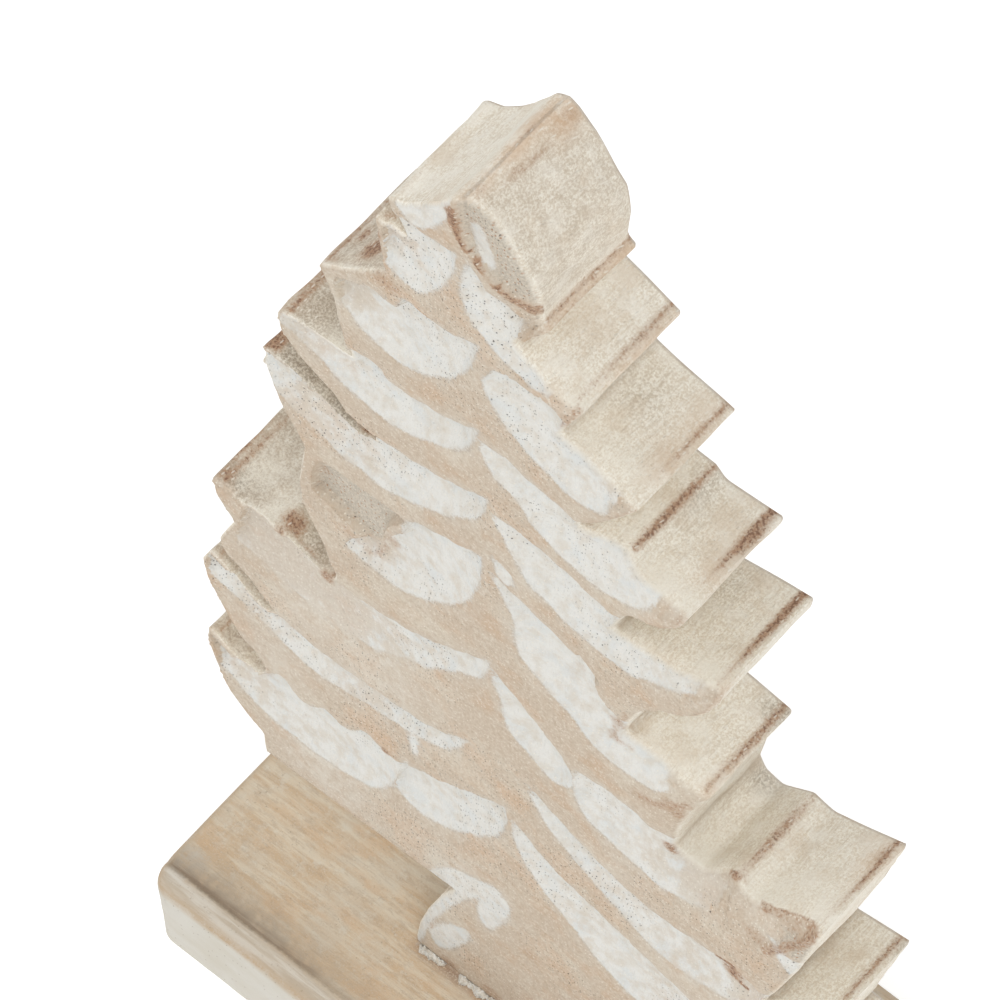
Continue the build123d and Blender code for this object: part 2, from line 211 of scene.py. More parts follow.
# Brown lines on the front: points as seen from the front, half width, strength.
BROWN_LINES = (
    (((-1.6, 347), (-0.8, 341.8), (0.9, 338.2), (3.1, 335.9), (5.5, 333.4), (8, 331.2)), 1.25, 1.15),
    (((8, 331.2), (12.5, 331.5), (19, 334.5)), 1.3, 0.75),
    (((66.5, 163.8), (71.3, 167.8), (75, 170.3), (78.2, 171.8), (78.2, 167), (76, 161.2), (71, 153.6),
      (66, 146)), 1.4, 0.68),
    (((-37.5, 193.5), (-32.5, 191.5), (-29.5, 193), (-27.2, 199)), 1.3, 0.45),
    (((53.8, 128.1), (57.3, 128.8), (58.2, 124.7), (61.8, 122.7)), 0.6, 1.1),
    (((35.5, 173), (40.5, 175.7), (48.2, 184)), 1.2, 0.6),
    (((27, 269.2), (30.3, 272.9), (34.6, 279.9), (37.8, 285)), 1.0, 0.35),
    (((40.5, 246.6), (44, 248.6), (46.6, 251.9), (48.7, 258), (50.5, 264)), 1.1, 0.45),
    (((50.6, 222.8), (53.8, 228.3), (56.4, 234.8), (58.5, 242)), 1.1, 0.5),
    (((22, 297.7), (24, 303.6), (27.5, 310.5)), 1.0, 0.55),
    (((33, 203), (31.5, 197), (29.5, 191), (34, 190)), 0.9, 0.5),
    (((-33, 30), (-30.8, 26), (-22, 25.5), (-5, 25.5), (30, 25.5)), 0.6, 0.8),
)
# Stains on the sawn sides and the front's edge: (x, y, z, size along the outline, size along Y, strength).
BROWN_STAINS = (
    (-28, -9, 299.5, 3.6, 3.4, 1.2), (-33.6, -6, 294.3, 2, 2.6, 0.9), (3.4, 2, 348.2, 0.9, 5, 0.7),
    (1, -10, 349.6, 1, 2.2, 0.6), (32.6, 0, 258.5, 1.2, 18, 1.1), (46.3, 8, 255.1, 1.6, 7, 0.9),
    (47.4, 4, 181.9, 1.3, 12, 0.9), (29, -13, 185.5, 2.4, 2, 1.0), (-75.1, -5, 171.5, 1.8, 8, 0.9),
    (-51.5, -13.4, 166.5, 3, 2, 0.6), (14.6, 0, 316, 1.6, 16, 0.5), (74.8, 10, 160, 2, 4, 0.7),
    (-74.8, -13.7, 171.4, 2, 2, 0.8), (-73.4, -11.5, 171, 2.5, 2.5, 0.7), (-75, -2, 171.5, 1.5, 8, 0.7),
    (-56.5, -10.9, 169.4, 3, 2.6, 1.1), (-54.5, -14, 168.2, 2.2, 2, 0.8),
    (-44, -14.2, 165.6, 2.5, 2.4, 1.0), (-34.5, -14.6, 293.6, 2.5, 2.5, 0.8),
    (-36.8, -4, 291.6, 2, 10, 0.6), (-48.6, -14.3, 260.6, 2.5, 2, 0.9), (-49.8, -4, 260.5, 1.8, 9, 0.7),
    (-54.8, -12.1, 243.2, 2.6, 4, 1.2), (-29.5, -13.5, 236, 3.5, 3, 1.0), (2.4, 12.7, 349, 2, 2.5, 0.5),
    (-0.4, 4.9, 349.8, 1.2, 3, 0.6), (3, -2.5, 348.5, 1.2, 4, 0.6), (54.6, 2, 155, 1.6, 14, 0.8),
    (55, -10, 154.6, 2, 2.5, 0.9), (22, -12, 260, 2, 3, 0.6), (29, -12, 186, 2.5, 2.5, 1.0),
)
# Dark marks on the sawn sides, given as in BROWN_STAINS: stains near the tips and edges, and painted shade
# in the slits under the boughs.
DARK_STAINS_AND_SHADE = (
    (-73.6, -11.3, 171, 3, 3.4, 1.2), (-47, -13, 242, 9, 3, 1.0), (-36, -14, 237.5, 6, 3, 0.9),
    (48.5, 13, 181.6, 2.5, 4, 0.9), (-70.5, -12, 170.2, 4, 3.5, 0.9), (-67, -10, 169.3, 3, 3, 0.5),
    (-46, -13, 241.8, 6, 5, 0.8), (-38, -13, 238, 6, 5, 0.8), (-43, -9, 261, 5, 6, 0.6),
    (46, 12, 182, 3, 3, 0.7), (43, 12, 149.5, 4, 3, 0.7), (-33, -8, 285, 4, 6, 0.5),
    (-51, -11, 166.5, 4, 4, 0.6), (34, 8, 257.5, 3, 8, 0.6), (24, 4, 287, 5, 6, 0.4),
    (40, 8, 229, 6, 8, 0.3), (78, 13, 121, 3, 3, 0.5), (-30, 4, 300, 6, 8, 0.5),
)
CREAM_STAINS = (
    (-34, -14, 141, 16, 6, 0.7), (-52, -14, 76, 13, 6, 0.9), (-62, -14, 112, 10, 6, 0.6),
    (-20, -14, 76, 12, 6, 0.5), (-52, -14, 142, 10, 6, 0.6), (30, -14, 134, 10, 6, 0.3),
    (50, -14, 104, 12, 6, 0.4), (-69, -6.4, 169.7, 5, 5, 0.8), (-66, 2, 169.3, 7, 6, 0.3),
    (-60.5, -11, 169.6, 3.5, 4, 1.0), (-61, -3, 169, 6, 6, 0.45), (-36, -12.5, 262, 4, 4, 1.0),
    (-34, -10, 281, 4, 4, 0.9), (-4.6, 4, 345.4, 1.8, 12, 1.0), (-3.4, -9, 347.2, 1.8, 5, 0.9),
    (38, -11, 255.3, 5, 5, 0.9), (46, -10.5, 255, 2.6, 3.5, 1.0), (23.6, -12, 303.6, 2.6, 3.5, 1.0),
    (50, -10, 231.8, 5, 4, 0.8), (40, -8, 183.3, 5, 5, 0.5), (45, -8, 149.2, 5, 6, 0.9),
    (62, -9, 154.3, 6, 6, 0.9), (68, -4, 157, 6, 8, 0.5), (22, -9, 286, 4, 5, 0.6),
    (54.6, 0, 231, 1.0, 16, 1.0), (76.6, 0, 158, 2.2, 18, 0.9), (48.6, 3, 253, 1.4, 12, 0.6),
    (30, -8, 283.3, 6, 5, 0.5),
)
ORANGE_STAINS = (
    (2.2, 11, 349, 3.4, 5, 1.2), (0.2, 1, 350, 2.6, 7, 1.0), (-0.6, 9, 349.8, 2.4, 6, 1.0),
    (-71.6, -14.4, 170.4, 3, 1.6, 1.0), (0.1, 6, 350, 2.4, 12, 0.9), (0.1, -9, 350, 2.2, 7, 0.8),
    (35.5, 7.5, 281.9, 4, 5, 0.5), (34.5, -2, 282.1, 4, 5, 0.5), (15, -4, 316.2, 2.4, 12, 0.8),
    (15, 10, 316.2, 2.4, 9, 0.9), (24.9, 6, 303, 1.8, 14, 0.9), (54.7, -11, 232.9, 2.0, 3, 0.7),
    (48.6, -7, 182, 2, 10, 0.6), (75, 8, 160.1, 4, 6, 0.7), (-72.5, -14, 170.6, 3, 2, 0.5),
    (46, -4, 255, 3, 5, 0.4), (-23, -12, 316, 5, 4, 0.7),
)
# Tips of the boughs: (x, z, strength of the brown line just inside the tip, at the front and at the back).
TIPS = (
    (15, 315.8, 0.7, 0.7), (25, 303, 0.4, 0.7), (37, 281.5, 0.2, 0.7), (48, 255, 0.1, 1.1),
    (55, 233, 0.45, 1.25), (49, 181.5, 0.6, 0.85), (77, 161, 0.25, 0.9), (78, 121, 0.6, 0.8),
    (83, 85, 0.6, 0.6), (-21.5, 323.5, 0.6, 0.3), (-37, 291.5, 0.8, 0.4), (-50, 260.5, 0.8, 0.5),
    (-55, 243.2, 0.9, 0.5), (-75, 171.5, 0.8, 0.5), (-78.5, 138, 0.6, 0.4), (-82.8, 101.4, 0.6, 0.4),
    (-18, 333.5, 0.3, 0.2),
)
NOTCHES = (
    (9, 310.6), (18, 287), (21.5, 259), (28, 226.3), (28.8, 185.5), (40.5, 153.5), (63.5, 118), (68, 86),
    (-14.5, 322), (-20, 306), (-32, 262), (-28, 238), (-47, 215), (-42.5, 168), (-70, 159.5), (-61, 131.5),
    (-67, 102), (-19, 63), (19, 63),
)


# ---------------------------------------------------------------- plane geometry
CURVE_STEP = 0.8              # spacing of the points on a smooth curve
FINE_STEP = 0.2               # spacing of the points on an outline before it is softened
SEARCH = 5                    # how far around a carved shape its effect is worked out
FAR = 9.0                     # stands for "not near any carved shape"
SIGHT_SHIFT = (1.01, 2.49)    # shift in X and Z, per millimetre of depth, along the line of sight


def smooth_curve(corners):
    """A Catmull-Rom curve through given points."""
    p = np.array(corners, float)
    p = np.vstack([2 * p[0] - p[1], p, 2 * p[-1] - p[-2]])
    samples = []
    for a, b, c, d in zip(p[:-3], p[1:-2], p[2:-1], p[3:]):
        count = max(2, int(np.linalg.norm(c - b) / CURVE_STEP))
        t = np.arange(count)[:, None] / count
        square, cube = 2 * a - 5 * b + 4 * c - d, 3 * b - a - 3 * c + d
        samples.append(0.5 * (2 * b + (c - a) * t + square * t**2 + cube * t**3))
    samples.append(p[-2][None])
    return np.vstack(samples)


def closed_curve(corners):
    return smooth_curve([*corners, corners[0]])


def wobbled(curve, amount, wavelength):
    """The same curve with small seeded waves, as a hand-held tool leaves it."""
    along = np.concatenate([[0], np.cumsum(np.linalg.norm(np.diff(curve, axis=0), axis=1))])
    tangent = np.gradient(curve, axis=0)
    normal = np.stack([tangent[:, 1], -tangent[:, 0]], 1)
    normal /= np.linalg.norm(normal, axis=1, keepdims=True) + 1e-9
    wave = np.zeros(len(curve))
    for octave in (1, 2.3, 5.1):
        phase = random.uniform(0, 2 * math.pi)
        wave += np.sin(along * 2 * math.pi * octave / wavelength + phase) / octave
    fade = np.clip(np.minimum(along, along[-1] - along) / 3, 0, 1)
    return curve + normal * (wave * fade * amount)[:, None]


def distance_to_line(points, line):
    """Distance from each point to an open polyline."""
    best = np.full(len(points), 1e9)
    for a, b in zip(line[:-1], line[1:]):
        e = b - a
        t = np.clip(((points - a) @ e) / max(e @ e, 1e-9), 0, 1)
        best = np.minimum(best, np.linalg.norm(points - a - t[:, None] * e, axis=1))
    return best


def inside_polygon(points, polygon):
    """Even-odd test for each point."""
    result = np.zeros(len(points), bool)
    x, z = points[:, 0], points[:, 1]
    for (x0, z0), (x1, z1) in zip(polygon, np.roll(polygon, -1, axis=0)):
        if z0 == z1:
            continue
        crosses = (z0 > z) != (z1 > z)
        result ^= crosses & (x < x0 + (z - z0) * (x1 - x0) / (z1 - z0))
    return result


def depth_inside(points, ring):
    """Distance from each point to a closed ring, negative outside it."""
    away = distance_to_line(points, ring)
    return np.where(inside_polygon(points, ring), away, -away)


def close_to(points, shape, margin):
    """Indices of the points in the box around a shape, widened by a margin."""
    low, high = shape.min(0) - margin, shape.max(0) + margin
    return np.flatnonzero(np.all((points > low) & (points < high), axis=1))


def ramp(value, low, high):
    """Smooth step from 0 at low to 1 at high."""
    t = np.clip((value - low) / (high - low), 0, 1)
    return t * t * (3 - 2 * t)


def bell(value, width):
    """1 at zero, falling smoothly over about the width on both sides."""
    return np.exp(-((value / width) ** 2))


def wave_noise(points, size, seed):
    """Smooth seeded noise of about -1 to 1 with features of the given size."""
    local = np.random.default_rng(seed)
    total = np.zeros(len(points))
    for _ in range(14):
        direction = local.normal(size=points.shape[1])
        direction /= np.linalg.norm(direction)
        wavelength = size * local.uniform(1.2, 3.4)
        total += np.sin(points @ direction * 2 * math.pi / wavelength + local.uniform(0, 2 * math.pi))
    return total / 5


def closed_outline(corners, step, softness):
    """Corner points joined and softened: evenly spaced points, and how far along each one lies."""
    p = np.array(corners, float)
    fine = []
    for a, b in zip(p, np.roll(p, -1, axis=0)):
        count = max(1, int(round(np.linalg.norm(b - a) / FINE_STEP)))
        fine.append(a + (b - a) * (np.arange(count) / count)[:, None])
    fine = np.vstack(fine)
    reach = int(4 * softness / FINE_STEP)
    kernel = np.exp(-0.5 * (np.arange(-reach, reach + 1) * FINE_STEP / softness) ** 2)
    kernel /= kernel.sum()
    padded = np.vstack([fine[-reach:], fine, fine[:reach]])
    smooth = np.stack([np.convolve(padded[:, k], kernel, "valid") for k in range(2)], 1)
    loop = np.vstack([smooth, smooth[:1]])
    length = np.concatenate([[0], np.cumsum(np.linalg.norm(np.diff(loop, axis=0), axis=1))])
    count = int(length[-1] / step)
    at = np.arange(count) * length[-1] / count
    return np.stack([np.interp(at, length, loop[:, k]) for k in range(2)], 1), at


def runs_counter_clockwise(loop):
    following = np.roll(loop, -1, axis=0)
    return np.sum(loop[:, 0] * following[:, 1] - following[:, 0] * loop[:, 1]) > 0


def outward_normals(loop):
    tangent = np.roll(loop, -1, axis=0) - np.roll(loop, 1, axis=0)
    normal = np.stack([tangent[:, 1], -tangent[:, 0]], 1)
    normal /= np.linalg.norm(normal, axis=1, keepdims=True) + 1e-9
    return normal if runs_counter_clockwise(loop) else -normal


def nearest_index(targets, queries):
    """For each query the nearest target: its index and distance."""
    tree = kdtree.KDTree(len(targets))
    for i, q in enumerate(targets):
        tree.insert((q[0], q[1], 0), i)
    tree.balance()
    found = [tree.find((q[0], q[1], 0)) for q in queries]
    return np.array([f[1] for f in found]), np.array([f[2] for f in found])


def along_loop(loop, at, table):
    """Values given at places near the loop, interpolated along it."""
    index, _ = nearest_index(loop, np.array([row[:2] for row in table], float))
    order = np.argsort(at[index])
    position, value = at[index][order], np.array([row[2] for row in table], float)[order]
    total = at[-1] + at[1]
    position = np.concatenate([[position[-1] - total], position, [position[0] + total]])
    value = np.concatenate([[value[-1]], value, [value[0]]])
    return np.interp(at, position, value)


# ---------------------------------------------------------------- the carved front
class Carving:
    """The relief of the front face and the masks that its paint follows."""

    def __init__(self):
        self.strokes = []
        for lower, upper, depth, wall in STROKES:
            low = wobbled(smooth_curve(lower), 0.16, 9)
            high = wobbled(smooth_curve(upper), 0.22, 7)
            self.strokes.append((low, high, np.vstack([low, high[::-1]]), depth, wall))
        self.hollows = [(closed_curve(corners), depth, wall) for corners, depth, wall in HOLLOWS]
        self.patches = [closed_curve(corners) for corners in WHITE_PATCHES]

    def guide_points(self):
        """Points on the edges of the strokes and hollows, so that the mesh follows them."""
        edges = [edge for low, high, *_ in self.strokes for edge in (low, high)]
        return np.vstack([*edges, *(ring for ring, *_ in self.hollows)])

    def depth(self, points):
        """How far behind the front plane the surface lies at each (x, z)."""
        cut = np.zeros(len(points))
        edge = np.full(len(points), FAR)
        for low, high, polygon, depth, wall in self.strokes:
            pick = close_to(points, polygon, SEARCH)
            q = points[pick]
            inner = inside_polygon(q, polygon)
            to_low, to_high = distance_to_line(q, low), distance_to_line(q, high)
            width = to_low + to_high
            scoop = np.sin(0.5 * math.pi * np.clip(to_low / (width + 1e-6) / 0.7, 0, 1)) ** 0.8
            floor = depth * np.minimum(1, width / 7) * scoop * np.clip(to_high / wall, 0, 1) ** 0.6
            cut[pick] = np.maximum(cut[pick], np.where(inner, floor, 0))
            edge[pick] = np.minimum(edge[pick], np.where(inner, 0, np.minimum(to_low, to_high)))
        for ring, depth, wall in self.hollows:
            pick = close_to(points, ring, SEARCH)
            inside = depth_inside(points[pick], ring)
            cut[pick] = np.maximum(cut[pick], depth * ramp(inside, 0, wall * 1.6))
            edge[pick] = np.minimum(edge[pick], np.clip(-inside, 0, None))
        rolled = 0.40 * bell(edge, 1.4)
        waves = 0.16 * wave_noise(points, 16, 3)
        waves += 0.10 * wave_noise(points * (1, 0.5), 3.0, 4) * ramp(cut, 0.2, 1.5)
        return cut + rolled + waves + 0.10

    def white(self, points, depth):
        """Millimetres inside the nearest painted shape, negative outside it."""
        best = np.full(len(points), -FAR)
        shifted = points + depth[:, None] * SIGHT_SHIFT
        for low, high, polygon, *_ in self.strokes:
            for places in (points, shifted):
                pick = close_to(places, polygon, SEARCH)
                q = places[pick]
                away = np.minimum(distance_to_line(q, low), distance_to_line(q, high))
                best[pick] = np.maximum(best[pick], np.where(inside_polygon(q, polygon), away, -away))
        for ring in self.patches:
            pick = close_to(shifted, ring, SEARCH)
            best[pick] = np.maximum(best[pick], depth_inside(shifted[pick], ring))
        for ring, *_ in self.hollows[1:]:
            pick = close_to(points, ring, SEARCH)
            bare = np.minimum(best[pick], -distance_to_line(points[pick], ring))
            best[pick] = np.where(inside_polygon(points[pick], ring), bare, best[pick])
        return best

    def floor_grey(self, points):
        """1 on the floors of the hollows, where dirty grey wash has stayed."""
        total = np.zeros(len(points))
        for ring, *_ in self.hollows:
            pick = close_to(points, ring, SEARCH)
            total[pick] = np.maximum(total[pick], ramp(depth_inside(points[pick], ring), 0, 1.5))
        return total


def blots(points, places):
    """Soft round marks, each given as (x, z, radius, strength)."""
    total = np.zeros(len(points))
    for x, z, radius, strength in places:
        away = np.linalg.norm(points - (x, z), axis=1)
        total = np.maximum(total, strength * (1 - ramp(away, 0.4 * radius, 1.4 * radius)))
    return total


def drawn_lines(points, lines):
    """Soft lines, each given as (points, half width, strength)."""
    total = np.zeros(len(points))
    for corners, half, strength in lines:
        line = wobbled(smooth_curve(corners), 0.22, 5)
        pick = close_to(points, line, SEARCH)
        away = distance_to_line(points[pick], line)
        total[pick] = np.maximum(total[pick], strength * (1 - ramp(away, 0.5 * half, 1.5 * half)))
    return total


def stained(points, stains):
    """Soft round marks in space, each given as in BROWN_STAINS."""
    total = np.zeros(len(points))
    x, y, z = points.T
    for at_x, at_y, at_z, size, reach, strength in stains:
        away = ((x - at_x) ** 2 + (z - at_z) ** 2) / size**2 + ((y - at_y) / reach) ** 2
        total = np.maximum(total, strength * np.exp(-away))
    return total


# ---------------------------------------------------------------- meshes
def make_object(name, vertices, faces, attributes, sharp_angle):
    """A mesh object from millimetre vertices, with float attributes per vertex."""
    mesh = bpy.data.meshes.new(name)
    mesh.from_pydata([tuple(v) for v in np.asarray(vertices) * MM], [], faces)
    mesh.update()
    for key, values in attributes.items():
        layer = mesh.attributes.new(key, "FLOAT", "POINT")
        layer.data.foreach_set("value", np.asarray(values, np.float32))
    mesh.shade_smooth()
    mesh.set_sharp_from_angle(angle=math.radians(sharp_angle))
    mesh.validate()
    item = bpy.data.objects.new(name, mesh)
    bpy.context.scene.collection.objects.link(item)
    return item


def triangulated(loops, interior):
    """Constrained triangulation of the region inside loops[0] and outside the other loops.
    Returns points and triangles; the loops' points come first, in their own order."""
    points = np.vstack([*loops, interior])
    edges, start = [], 0
    for loop in loops:
        n = len(loop)
        edges += [(start + i, start + (i + 1) % n) for i in range(n)]
        start += n
    vectors = [Vector(p) for p in points]
    out_points, _, triangles, origin, _, _ = delaunay_2d_cdt(vectors, edges, [], 0, 1e-6)
    out = np.array([tuple(p) for p in out_points])
    remap = np.array([o[0] if o else -1 for o in origin])
    faces = np.array([t[:] for t in triangles])
    middles = out[faces].mean(1)
    keep = inside_polygon(middles, loops[0])
    for hole in loops[1:]:
        keep &= ~inside_polygon(middles, hole)
    faces = remap[faces[keep]]
    return points, faces[(faces >= 0).all(1)]


def lattice(low, high, step_x, step_z, jitter):
    """Staggered grid points over a box, each moved a little."""
    points = []
    for row, z in enumerate(np.arange(low[1], high[1], step_z)):
        x = np.arange(low[0] + (row % 2) * step_x / 2, high[0], step_x)
        points.append(np.stack([x, np.full(len(x), z)], 1))
    points = np.vstack(points)
    return points + random.uniform(-jitter, jitter, points.shape)


def thinned(points, keep_clear_of, distance):
    """Drops the points that lie nearer than distance to any of the others."""
    _, away = nearest_index(keep_clear_of, points)
    return points[away > distance]


def oriented(points, faces, want_positive):
    """Triangles turned so that their winding in the plane has the wanted sign."""
    a, b, c = points[faces[:, 0]], points[faces[:, 1]], points[faces[:, 2]]
    area = (b[:, 0] - a[:, 0]) * (c[:, 1] - a[:, 1]) - (b[:, 1] - a[:, 1]) * (c[:, 0] - a[:, 0])
    flip = (area > 0) != want_positive
    faces = faces.copy()
    faces[flip] = faces[flip][:, ::-1]
    return [tuple(int(i) for i in face) for face in faces[np.abs(area) > 1e-9]]


def cap_faces(points, faces, n, ring_start, first_new):
    """Downward or backward triangles whose first n points are a ring that is already among the vertices."""
    turned = oriented(points, faces, False)
    return [tuple(ring_start + i if i < n else first_new + i - n for i in face) for face in turned]


def joined_rings(starts, n, reverse=False):
    """Quads between rings of n vertices, given each ring's first vertex."""
    quads = []
    for a, b in zip(starts[:-1], starts[1:]):
        for i in range(n):
            j = (i + 1) % n
            quad = (a + i, b + i, b + j, a + j)
            quads.append(quad[::-1] if reverse else quad)
    return quads


def rounded_drop(radius, away):
    """How far a rounded edge falls below its face, at a distance from the outline."""
    inset = np.clip(radius - away, 0, None)
    return radius - np.sqrt(np.clip(radius**2 - inset**2, 0, None))


# ---------------------------------------------------------------- the board
SIDE_ROWS = 27                # rows of faces through the thickness
BACK_ANGLES = (35, 65, 90)    # rings on the rounded back edge, in degrees
BACK_RADIUS = 0.8
AROUND_ROWS = SIDE_ROWS + len(BACK_ANGLES)


def build_board():
    """The carved board: relief on the front, saw-cut sides, plain back."""
    corners = [PEAK, *RIGHT_EDGE, *RIGHT_FOOT, *LEFT_FOOT[::-1], *LEFT_EDGE[::-1]]
    loop, at = closed_outline(corners, 0.95, 0.42)
    n = len(loop)
    out = outward_normals(loop)
    carving = Carving()
    points, faces = front_mesh(loop, out, carving)
    near, away = nearest_index(loop, points)
    away[:n] = 0
    depth = front_depth(loop, at, near, away, carving.depth(points))
    radius = np.where(loop[:, 0] < 0, 0.55, 0.85) + 0.3 * wave_noise(loop, 12, 9)
    front_y = depth - HALF_THICKNESS + rounded_drop(np.clip(radius, 0.35, 1.5)[near], away)
    back_depth = along_loop(loop, at, BACK_DEPTHS) + 0.15 * (1 + wave_noise(loop, 9, 12))
    last_y = HALF_THICKNESS - BACK_RADIUS - back_depth
    side = sawn_side(loop, at, out, front_y[:n], last_y)
    back_edge = rounded_back_edge(loop, out, last_y)
    back_points, back_faces, back_y = back_mesh(loop, back_edge[-n:, [0, 2]], back_depth)

    front = np.column_stack([points[:, 0], front_y, points[:, 1]])
    back = np.column_stack([back_points[n:, 0], back_y[n:], back_points[n:, 1]])
    around = np.vstack([side, back_edge])
    starts = [0] + [len(points) + r * n for r in range(AROUND_ROWS)]
    all_faces = oriented(points, faces, True)
    all_faces += joined_rings(starts, n, reverse=not runs_counter_clockwise(loop))
    all_faces += cap_faces(back_points, back_faces, n, starts[-1], len(points) + AROUND_ROWS * n)
    attributes = board_masks(carving, points, depth, front, around, len(back), (loop, at, out, near, away))
    return make_object("carved_board", np.vstack([front, around, back]), all_faces, attributes, 42)


def front_mesh(loop, out, carving):
    """A fine triangle mesh of the front that follows the outline and the carved strokes."""
    inner_ring = loop - out * 0.75
    _, gap = nearest_index(loop, inner_ring)
    inner_ring = inner_ring[gap > 0.6]
    guides = carving.guide_points()
    guides = guides[inside_polygon(guides, loop)]
    guides = thinned(thinned(guides, loop, 0.6), inner_ring, 0.4)
    grid = lattice(loop.min(0), loop.max(0), 0.82, 0.86, 0.12)
    grid = grid[inside_polygon(grid, loop)]
    grid = thinned(grid, np.vstack([loop, inner_ring, guides]), 0.45)
    return triangulated([loop], np.vstack([inner_ring, guides, grid]))


def front_depth(loop, at, near, away, carved):
    """The carved depth, eased at the outline, or the knocked-back edge where that is deeper."""
    edge_depth = along_loop(loop, at, EDGE_DEPTHS)[near]
    sloped = edge_depth * np.clip(1 - away / (2.5 + 2.6 * edge_depth), 0, 1) ** 1.6
    return np.maximum(carved * (0.35 + 0.65 * ramp(away, 0, 2.0)), sloped + 0.3 * (carved - 0.2))


def sawn_side(loop, at, out, first_y, last_y):
    """Rows of vertices from the front edge to the back edge, with saw marks across the outline."""
    n = len(loop)
    share = np.linspace(0, 1, SIDE_ROWS + 1)[1:]
    y = (first_y[None] + (last_y - first_y)[None] * share[:, None]).ravel()
    flat = np.tile(loop, (SIDE_ROWS, 1))
    place = np.column_stack([flat, y])
    saw = 0.07 * wave_noise(np.column_stack([np.tile(at, SIDE_ROWS), y * 0.05]), 1.6, 21)
    saw += 0.22 * wave_noise(place, 9, 22) + 0.10 * wave_noise(place, 3.2, 23)
    saw *= np.repeat(np.clip(share * 8, 0, 1), n)
    moved = flat + saw[:, None] * np.tile(out, (SIDE_ROWS, 1))
    return np.column_stack([moved[:, 0], y, moved[:, 1]])


def rounded_back_edge(loop, out, last_y):
    rings = []
    for a in np.radians(BACK_ANGLES):
        ring = loop - out * BACK_RADIUS * (1 - math.cos(a)) * 0.8
        rings.append(np.column_stack([ring[:, 0], last_y + BACK_RADIUS * math.sin(a), ring[:, 1]]))
    return np.vstack(rings)


def back_mesh(loop, ring, back_depth):
    """The nearly flat back: points, triangles and how far back each point lies."""
    grid = lattice(loop.min(0), loop.max(0), 2.6, 2.8, 0.3)
    grid = thinned(grid[inside_polygon(grid, ring)], ring, 1.3)
    points, faces = triangulated([ring], grid)
    near, away = nearest_index(ring, points)
    corner = back_depth[near]
    fall = corner * np.clip(1 - away / (2 + 2.2 * corner), 0, 1) ** 1.5
    return points, faces, HALF_THICKNESS + 0.12 * (wave_noise(points, 14, 31) - 1) * ramp(away, 0, 3) - fall


def board_masks(carving, points, depth, front, around, back_count, outline):
    """Per-vertex masks for the material: front vertices, then the rings around, then the back."""
    loop, at, out, near, away = outline
    none, n = np.zeros(len(points)), len(loop)
    shifted = points + depth[:, None] * SIGHT_SHIFT
    line_front, line_back, tip_near, notch = side_marks(loop, at)
    brown = np.maximum(blots(shifted, BROWN_PLACES), drawn_lines(shifted, BROWN_LINES))
    brown = np.maximum(brown, tip_near[near] * np.clip(1 - away / 2.0, 0, 1) * 0.6)
    through = ramp(around[:, 1], -11, 8)
    side_brown = np.tile(line_front, AROUND_ROWS) * (1 - through)
    side_brown += np.tile(line_back, AROUND_ROWS) * through
    side_brown = np.maximum(side_brown, stained(around, BROWN_STAINS))
    shaded = ramp(-loop[:, 0], 2, 12) * ramp(out[:, 1], -0.2, 0.3) * (1 - ramp(loop[:, 1], 326, 332))
    shaded = np.maximum(shaded, 0.55 * ramp(loop[:, 0], 0, 3) * ramp(loop[:, 1], 318, 322))
    is_side = np.repeat([1.0, 0.0], [SIDE_ROWS * n, len(BACK_ANGLES) * n])

    def column(front_values, side_values, back_value=0.0):
        if np.ndim(side_values) == 0:
            side_values = np.full(AROUND_ROWS * n, side_values)
        return np.concatenate([front_values, side_values, np.full(back_count, back_value)])

    def stains(table):
        return column(stained(front, table), stained(around, table))

    return {
        "white": column(carving.white(points, depth), -FAR, -FAR),
        "worn": column(blots(points, WORN_PLACES), 0.0),
        "brown": column(brown, side_brown),
        "soot": stains(DARK_STAINS_AND_SHADE),
        "cream": stains(CREAM_STAINS),
        "orange": stains(ORANGE_STAINS),
        "notch": column(none, np.tile(notch, AROUND_ROWS)),
        "grey": column(carving.floor_grey(points), 0.0),
        "side": column(np.clip(1 - away / 0.5, 0, 1), is_side),
        "back": column(none, 1 - is_side, 1.0),
        "arc": column(at[near], np.tile(at, AROUND_ROWS)),
        "left": column(none, np.tile(shaded, AROUND_ROWS)),
    }


def side_marks(loop, at):
    """Along the outline: the brown line inside each tip at the front and at the back, and how near each tip
    and each notch is."""
    total = at[-1] + at[1]
    front, back, near, notch = (np.zeros(len(loop)) for _ in range(4))
    index, _ = nearest_index(loop, np.array([tip[:2] for tip in TIPS], float))
    for (x, _, at_front, at_back), i in zip(TIPS, index):
        signed = (at - at[i] + total / 2) % total - total / 2
        # the outline runs down the right side and up the left, so above a right tip comes before it
        above = -signed if x > 0 else signed
        line = bell(above - 1.9, 1.15)
        front, back = np.maximum(front, at_front * line), np.maximum(back, at_back * line)
        near = np.maximum(near, at_front * bell(signed, 2.5))
    # nearness to each notch, used for painted shade in the inner corners between the boughs
    index, _ = nearest_index(loop, np.array(NOTCHES, float))
    for i in index:
        signed = (at - at[i] + total / 2) % total - total / 2
        notch = np.maximum(notch, bell(signed, 1.6))
    return front, back, near, notch


# ---------------------------------------------------------------- the base plate
BASE_CORNER_RADIUS = 5.2
BAND_WIDTH = 6.2              # the sloping band in front of the scribed line
BASE_ROWS = 16                # rows of faces down the sides
FOOT_RADIUS = 1.0
FOOT_ANGLES = (40, 90)        # rings on the rounded foot, in degrees
HOLE_RADIUS = 2.4             # clearance for a screw's shank
HEAD_HEIGHT = 2.8


def rounded_rectangle(half_x, half_y):
    r = BASE_CORNER_RADIUS
    corners = []
    for side_x, side_y, start in ((1, 1, 0), (-1, 1, 90), (-1, -1, 180), (1, -1, 270)):
        for a in np.radians(np.linspace(start, start + 90, 7)):
            x, y = r * math.cos(a), r * math.sin(a)
            corners.append((side_x * (half_x - r) + x, side_y * (half_y - r) + y))
    return closed_outline(corners, 1.0, 0.3)[0]


